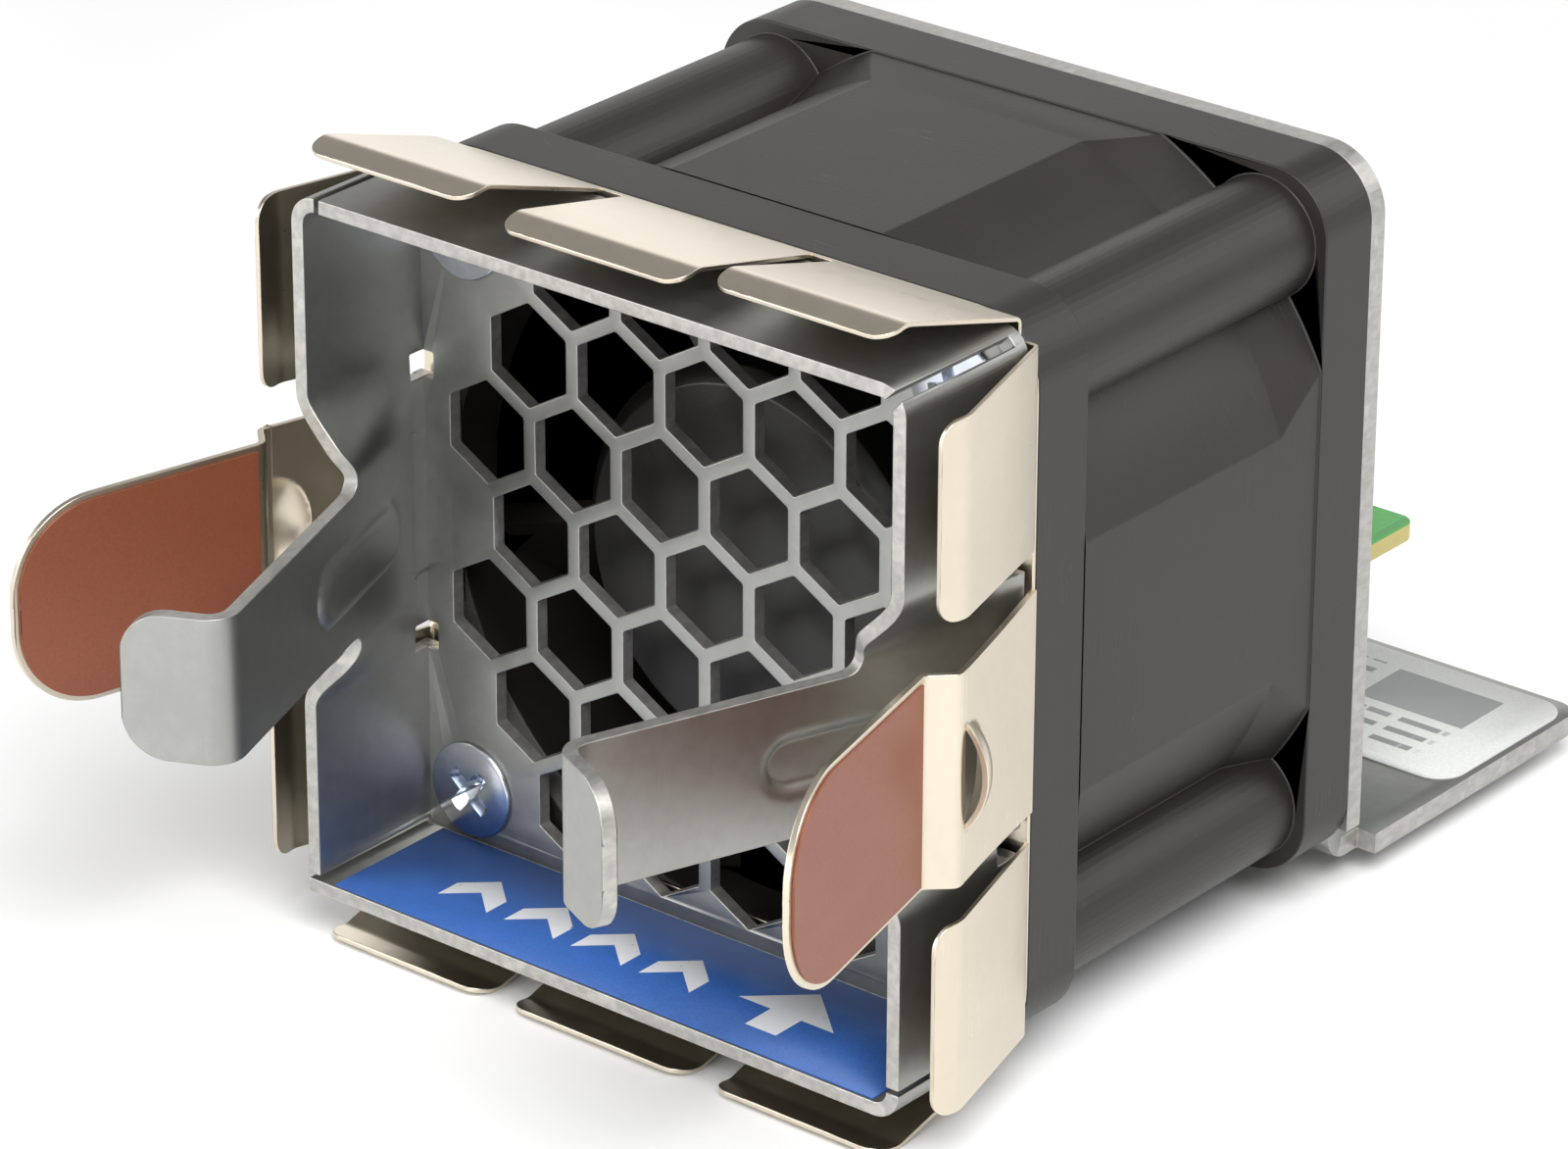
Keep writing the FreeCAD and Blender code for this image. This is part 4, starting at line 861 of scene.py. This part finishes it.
class MODULE_OT_cage(bpy.types.Operator):
    """Formed intake cage with its honeycomb, arms and flow label"""
    bl_idname = "module.cage"
    bl_label = "Intake cage"
    fold, seam_fold = 18.2, 17.9
    arm_half = 4.0

    def side_wall(self, low, high):
        """Right side wall as one formed sheet. Seen from above, the lean line runs
        straight, turns in, and ends in a tab turned out; x is a blend from the straight
        wall to the lean line by a smooth step of the height. Between wall and arm the
        front edge dips in a round notch; past it only the arm goes on, with a pressed
        rib: a lift that falls off with the distance from the rib's middle line."""
        root, back, lean, reach = 19.4, 0.6, 2.0, 25.0
        end = root - (reach - lean) * 3.0 / 8.2
        line = bend_path([(root, -back, 0), (root, -lean, 0), (end, -reach, 0),
                          (end + 4.9, -reach - 2.3, 0)], (2.0, 1.3), 9)
        run = distances(line)
        notch_half, notch_floor, corner_rise, arm_start = 0.75, -9.65, 0.55, -10.5
        notch_mid = self.arm_half + notch_half
        slot_low, slot_high, calm = 7.0, 8.5, 9.2
        upper = np.concatenate([
            np.linspace(0, self.arm_half, 20)[:-1],
            notch_mid - notch_half * np.cos(np.linspace(0, math.pi / 2, 13))[:-1],
            np.linspace(notch_mid, slot_low, 21)[:-1], np.linspace(slot_low, slot_high, 9)[:-1],
            np.linspace(slot_high, calm, 5)])
        z = np.concatenate([np.linspace(low, -calm, 5)[:-1], -upper[:0:-1], upper,
                            np.linspace(calm, high, 5)[1:]])
        tall = np.abs(z)
        notch = 1 - np.sqrt(np.clip(1 - ((notch_mid - tall) / notch_half) ** 2, 0, 1))
        front = np.where(tall <= notch_mid, notch_floor + (arm_start - notch_floor) * notch,
                         notch_floor - corner_rise * smooth_step((tall - notch_mid) / 1.5))
        slot_end, wall_run = 1.8, 9.6
        share = np.concatenate([[0.0], np.linspace(slot_end, wall_run, 31) / wall_run])
        y = -back + share[:, None] * (front + back)[None, :]
        along = np.interp(-y, -line[:, 1], run)
        rib_end, arm_end, tip_round = 5.0, 13.6, 2.4
        arm = np.concatenate([np.linspace(0, rib_end, 21)[1:],
                              np.linspace(rib_end, arm_end, 9)[1:]])
        start = float(np.interp(-arm_start, -line[:, 1], run))
        marks = np.concatenate([start + arm, to_tip(run, tip_round, 12, start + arm_end + 0.2)])
        wide = 1 - tip_inset(run[-1] - marks, tip_round) / self.arm_half
        along = np.concatenate([along, np.broadcast_to(marks[:, None], (len(marks), len(z)))])
        lean_x = np.interp(along, run, line[:, 0])
        lean_y = np.interp(along, run, line[:, 1])
        straight_from, blend_tall = 8.9, 4.4
        x = root + (lean_x - root) * smooth_step((straight_from - tall) / blend_tall)
        up = np.concatenate([np.broadcast_to(z, y.shape), wide[:, None] * z[None, :]])
        rib_front, rib_back, rib_half, rib_slope, rib_deep = -13.2, -6.4, 1.9, 0.8, 0.42
        away = np.hypot(lean_y - np.clip(lean_y, rib_front, rib_back), up)
        x = x - rib_deep * smooth_step((rib_half - away) / rib_slope)
        middle = np.stack([x, lean_y, up], axis=-1)
        rows, columns = len(middle) - 1, len(z) - 1
        centre = (z[1:] + z[:-1]) / 2
        metal = np.ones((rows, columns), bool)
        metal[0, (np.abs(centre) > slot_low) & (np.abs(centre) < slot_high)] = False
        metal[len(share) - 1:, np.abs(centre) > self.arm_half] = False
        return sheet_patch(middle, metal, CAGE_SHEET)

    def execute(self, context):
        face, edge = sheet_finish()
        mesh = NODES["front_cage"].data.copy()
        wall_outside = FAN_HALF - 0.21
        with editing(mesh, 0.001) as work:
            for spot, across in (((0, PLATE_FRONT, 0), (0, 1, 0)), ((0, 0, self.fold), (0, 0, 1)),
                                 ((0, 0, -self.fold), (0, 0, 1)),
                                 ((0, 0, -self.seam_fold), (0, 0, 1))):
                geometry = work.verts[:] + work.edges[:] + work.faces[:]
                bmesh.ops.bisect_plane(work, geom=geometry, dist=0.0005 * MM,
                                       plane_co=Vector(spot) * MM, plane_no=across)
            gone = []
            for part in work.faces:
                spot = part.calc_center_median() / MM
                floor = -self.seam_fold if spot.x > 0 else -self.fold
                wall = spot.y < PLATE_FRONT - 0.001 or abs(spot.x) > wall_outside
                if wall and floor < spot.z < self.fold:
                    gone.append(part)
            bmesh.ops.delete(work, geom=gone, context="FACES")
        cage = link("front_cage_shown", mesh, face, edge)

        def cut_faces(centre, normal):
            rim = (np.abs(normal[:, 1]) > 0.9) & (centre[:, 1] < -9.0)
            plate = (centre[:, 1] > PLATE_FRONT) & (np.abs(normal[:, 1]) < 0.3)
            inside = np.abs(centre[:, [0, 2]]).max(axis=1) < self.fold
            return rim | (plate & inside)

        paint_faces(cage, cut_faces)
        walls = []
        for side, low in ((1, -self.seam_fold), (-1, -self.fold)):
            points, faces, skins = self.side_wall(low, self.fold)
            wall = surface("side_wall", points * (side, 1, 1), faces, face, edge)
            wall.data.polygons.foreach_set("material_index",
                                           (np.arange(len(faces)) >= skins).astype(np.int32))
            walls.append(outward(wall))
        with context.temp_override(active_object=cage, selected_editable_objects=[cage] + walls):
            bpy.ops.object.join()
        with editing(cage.data) as work:
            loose = [point for point in work.verts if not point.link_faces]
            bmesh.ops.delete(work, geom=loose, context="VERTS")
        finish_edges(cage, looks().edge_round * 0.8)
        stand_for(cage, "front_cage")
        dressed("airflow_label", 0.0, flow_label("flow_label_look", tuple(looks().label)))
        return {"FINISHED"}


class MODULE_OT_screws(bpy.types.Operator):
    """Cross-recess screws at front, rear and board"""
    bl_idname = "module.screws"
    bl_label = "Screws"

    def screw(self, radius, high, deep, shank, length, turn):
        """A screw along +Z with its seat at 0: head radius and height, recess depth, shank
        radius and length, and how far the recess is turned. Every row is a loop round the
        axis. The shank's rows rise and fall as threads; the head's rows run from its rim
        in over a flattened dome to the outline of a cross, whose radius at an angle is
        the lesser of arm length / cos and arm half width / sin; the last rows go down its
        walls."""
        count = 96
        pitch, ridge_high = 0.5, 0.14
        side = high * 0.42
        angle = np.linspace(0, 2 * math.pi, count, endpoint=False) + 0.001
        folded = from_axis(angle)
        arm, half = radius * 0.56, radius * 0.15
        cross = np.minimum(arm / np.cos(folded), half / np.maximum(np.sin(folded), 1e-6))
        cross = np.minimum(cross, arm)
        flat = np.ones(count)

        def dome(r):
            return high * (1 - 0.42 * np.abs(r / radius) ** 3.2)

        turns = np.linspace(0, 1, int(length / (pitch / 4)))
        ridge = shank - ridge_high * np.abs(np.sin(turns * length / pitch * math.pi))
        rows = [(flat * 0.001, -length), (flat * shank * 0.7, -length)]
        rows += [(flat * r, z) for r, z in zip(ridge, -length * (1 - turns) * 0.97 - 0.05)]
        rows += [(flat * shank, -0.02), (flat * (radius - 0.1), 0.0),
                 (flat * radius, 0.1), (flat * radius, side)]
        rim = 0.16 * radius / 2.7
        rows += [(flat * (radius - rim * share),
                  side + (dome(radius * 0.94) - side) * math.sqrt(1 - (1 - share) ** 2))
                 for share in np.linspace(0, 1, 7)[1:]]
        start = radius - rim
        for share in np.linspace(0, 1, 12)[1:]:
            r = start + (cross - start) * share
            rows.append((r, dome(r)))
        top = dome(cross)
        rows += [(cross * 0.97, top - 0.05), (cross * 0.72, top - deep * 0.7),
                 (cross * 0.3, top - deep * 0.9), (flat * 0.001, flat * (high - deep))]
        radii = np.stack([np.broadcast_to(r, (count,)) for r, z in rows])
        heights = np.stack([np.broadcast_to(z, (count,)) for r, z in rows])
        spin = angle + math.radians(turn)
        points = np.stack([radii * np.cos(spin), radii * np.sin(spin), heights], axis=-1)
        return points.reshape(-1, 3), quads(len(rows), count)

    def place(self, made, centre, axis):
        """Stand a screw's axis along the given direction at a centre."""
        points, faces = made
        axis = np.asarray(axis, float)
        side = np.array([1.0, 0, 0])
        up = np.cross(axis, side)
        return points @ np.stack([side, up, axis]) + centre, faces

    def execute(self, context):
        zinc = rolled_metal("screw_look", linear(206, 212, 222), rough=0.2, grain=0.3, wear=0.5)
        pitch = FAN_HALF - 4.0
        corners = [(x * pitch, z * pitch) for x in (1, -1) for z in (1, -1)]
        rear = FAN_DEPTH + BRACKET_SHEET
        groups = {
            "front_screws": [((x, PLATE_FRONT, z), (0, -1, 0), 2.7, 0.4, 1.1, 1.5, 9.0)
                             for x, z in corners],
            "rear_screws": [((x, rear, z), (0, 1, 0), 2.7, 1.5, 1.2, 1.5, 9.0)
                            for x, z in corners],
            "board_screws": [((x, 34.5, float(CARD_HIGH[2])), (0, 0, 1), 1.8, 1.2, 0.9, 1.0, 3.0)
                             for x in (5.5, -5.5)],
        }
        for node, entries in groups.items():
            made = [self.place(self.screw(*sizes, 17 + 41 * i), centre, axis)
                    for i, (centre, axis, *sizes) in enumerate(entries)]
            piece = outward(surface(node + "_shown", *joined(made), zinc))
            piece.data.set_sharp_from_angle(angle=math.radians(40))
            stand_for(piece, node)
        return {"FINISHED"}


class MODULE_OT_bracket(bpy.types.Operator):
    """Rear bracket and its label"""
    bl_idname = "module.bracket"
    bl_label = "Rear bracket"

    def execute(self, context):
        face, edge = sheet_finish()
        bracket = dressed("rear_bracket", looks().edge_round * 0.5, face, edge, join=False)

        def cut_faces(centre, normal):
            within = BRACKET_SHEET + 0.05
            foot = (centre[:, 2] < FOOT_LOW[2] + within) & (centre[:, 1] > FAN_DEPTH + 1.0)
            plate = (centre[:, 1] < FAN_DEPTH + within) & (np.abs(normal[:, 1]) < 0.3)
            return (foot & (np.abs(normal[:, 2]) < 0.3)) | (plate & (centre[:, 2] > FOOT_LOW[2] + 2))

        paint_faces(bracket, cut_faces)
        dressed("foot_label", 0.0, data_label("data_label_look"))
        return {"FINISHED"}


class MODULE_OT_board(bpy.types.Operator):
    """Plug-in board and its gold contacts"""
    bl_idname = "module.board"
    bl_label = "Plug-in board"

    def execute(self, context):
        mask = circuit_board("board_look", tuple(looks().board), linear(182, 168, 100))
        dressed("connector_board", 0.05, mask)
        dressed("board_contacts", 0.02,
                rolled_metal("gold_look", linear(226, 184, 92), rough=0.22, grain=0.3))
        return {"FINISHED"}


class MODULE_OT_stage(bpy.types.Operator):
    """Floor, soft lamps, world and camera"""
    bl_idname = "module.stage"
    bl_label = "Stage"

    def execute(self, context):
        scene = context.scene
        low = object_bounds()[0]
        size = 1.2
        points = np.array([[-size, -size, 0], [size, -size, 0], [size, size, 0],
                           [-size, size, 0]]) / MM + [0, 0, low[2] / MM]
        floor = surface("floor", points, [[0, 1, 2, 3]], self.floor_finish(), smooth=False)
        floor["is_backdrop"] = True
        world = bpy.data.worlds.new("plain")
        scene.world = world
        world.use_nodes = True
        tree = world.node_tree
        tree.nodes.clear()
        path = tree.nodes.new("ShaderNodeLightPath")
        seen = tree.nodes.new("ShaderNodeMath")
        seen.operation = "MAXIMUM"
        tree.links.new(path.outputs["Is Camera Ray"], seen.inputs[0])
        tree.links.new(path.outputs["Is Transmission Ray"], seen.inputs[1])
        blend = tree.nodes.new("ShaderNodeMixShader")
        output = tree.nodes.new("ShaderNodeOutputWorld")
        tree.links.new(seen.outputs[0], blend.inputs[0])
        for socket, strength in ((1, 0.34), (2, 1.0)):
            light = tree.nodes.new("ShaderNodeBackground")
            light.inputs["Color"].default_value = (1.0, 1.0, 1.0, 1.0)
            light.inputs["Strength"].default_value = strength
            tree.links.new(light.outputs[0], blend.inputs[socket])
        tree.links.new(blend.outputs[0], output.inputs["Surface"])
        aim = Vector((0.002, 0.006, 0.0))
        for name, place, size, power in (
                ("key", (0.22, -0.16, 0.34), 0.34, 2.3),
                ("fill", (-0.30, -0.30, 0.16), 0.35, 1.1),
                ("front", (0.10, -0.45, 0.05), 0.30, 0.8),
                ("rim", (0.25, 0.35, 0.25), 0.40, 0.7),
                ("glow", (-0.28, 0.40, 0.09), 0.30, 0.24)):
            lamp = bpy.data.lights.new(name, "AREA")
            lamp.shape = "DISK"
            lamp.size = size
            lamp.energy = power * looks().lamp_power
            holder = bpy.data.objects.new(name, lamp)
            holder.location = place
            holder.rotation_euler = (aim - Vector(place)).to_track_quat("-Z", "Y").to_euler()
            holder.visible_camera = False
            scene.collection.objects.link(holder)
        scene.view_settings.view_transform = "Standard"
        self.place_camera(scene)
        return {"FINISHED"}

    def floor_finish(self):
        """Near-white floor that takes the shadow and shows as white to the camera."""
        g = Graph("floor_look")
        fleck = g.noise(g.place((30, 30, 30)), 1.0, 2.0)
        tone = g.mix(g.ramp(fleck, 0.3, 0.7), (0.86, 0.86, 0.86, 1.0), (0.9, 0.9, 0.9, 1.0))
        return g.finish(Base_Color=tone, Roughness=0.7)

    def place_camera(self, scene):
        """Long lens looking down on the intake side from the right."""
        azimuth, elevation, roll = map(math.radians, (39.175, 24.789, 0.215))
        back = Vector((math.sin(azimuth) * math.cos(elevation),
                       -math.cos(azimuth) * math.cos(elevation), math.sin(elevation)))
        camera = bpy.data.cameras.new("camera")
        camera.lens = 160.42
        camera.sensor_width = 36.0
        camera.clip_start = 0.01
        holder = bpy.data.objects.new("camera", camera)
        holder.location = Vector((206.48, -248.37, 149.94)) * MM
        turn = (-back).to_track_quat("-Z", "Y").to_matrix().to_4x4()
        holder.rotation_euler = (turn @ Matrix.Rotation(roll, 4, "Z")).to_euler()
        scene.collection.objects.link(holder)
        scene.camera = holder


PIECES = (MODULE_OT_housing, MODULE_OT_rotor, MODULE_OT_fingers, MODULE_OT_latches,
          MODULE_OT_cage, MODULE_OT_screws, MODULE_OT_bracket, MODULE_OT_board,
          MODULE_OT_stage)


class MODULE_PT_panel(bpy.types.Panel):
    """The module's pieces and their settings"""
    bl_idname = "MODULE_PT_panel"
    bl_label = "Cooling module"
    bl_space_type = "VIEW_3D"
    bl_region_type = "UI"
    bl_category = "Cooling module"

    def draw(self, context):
        settings = context.scene.cooling_module_looks
        for key in settings.__annotations__:
            self.layout.prop(settings, key)
        for operator in PIECES:
            self.layout.operator(operator.bl_idname)


CLASSES = (CoolingModuleLooks,) + PIECES + (MODULE_PT_panel,)


def register():
    for item in CLASSES:
        bpy.utils.register_class(item)
    bpy.types.Scene.cooling_module_looks = bpy.props.PointerProperty(type=CoolingModuleLooks)


def unregister():
    del bpy.types.Scene.cooling_module_looks
    for item in reversed(CLASSES):
        bpy.utils.unregister_class(item)


def main():
    """Build every piece in turn."""
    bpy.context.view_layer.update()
    register()
    for operator in PIECES:
        group, name = operator.bl_idname.split(".")
        getattr(getattr(bpy.ops, group), name)()


if __name__ == "__main__":
    main()
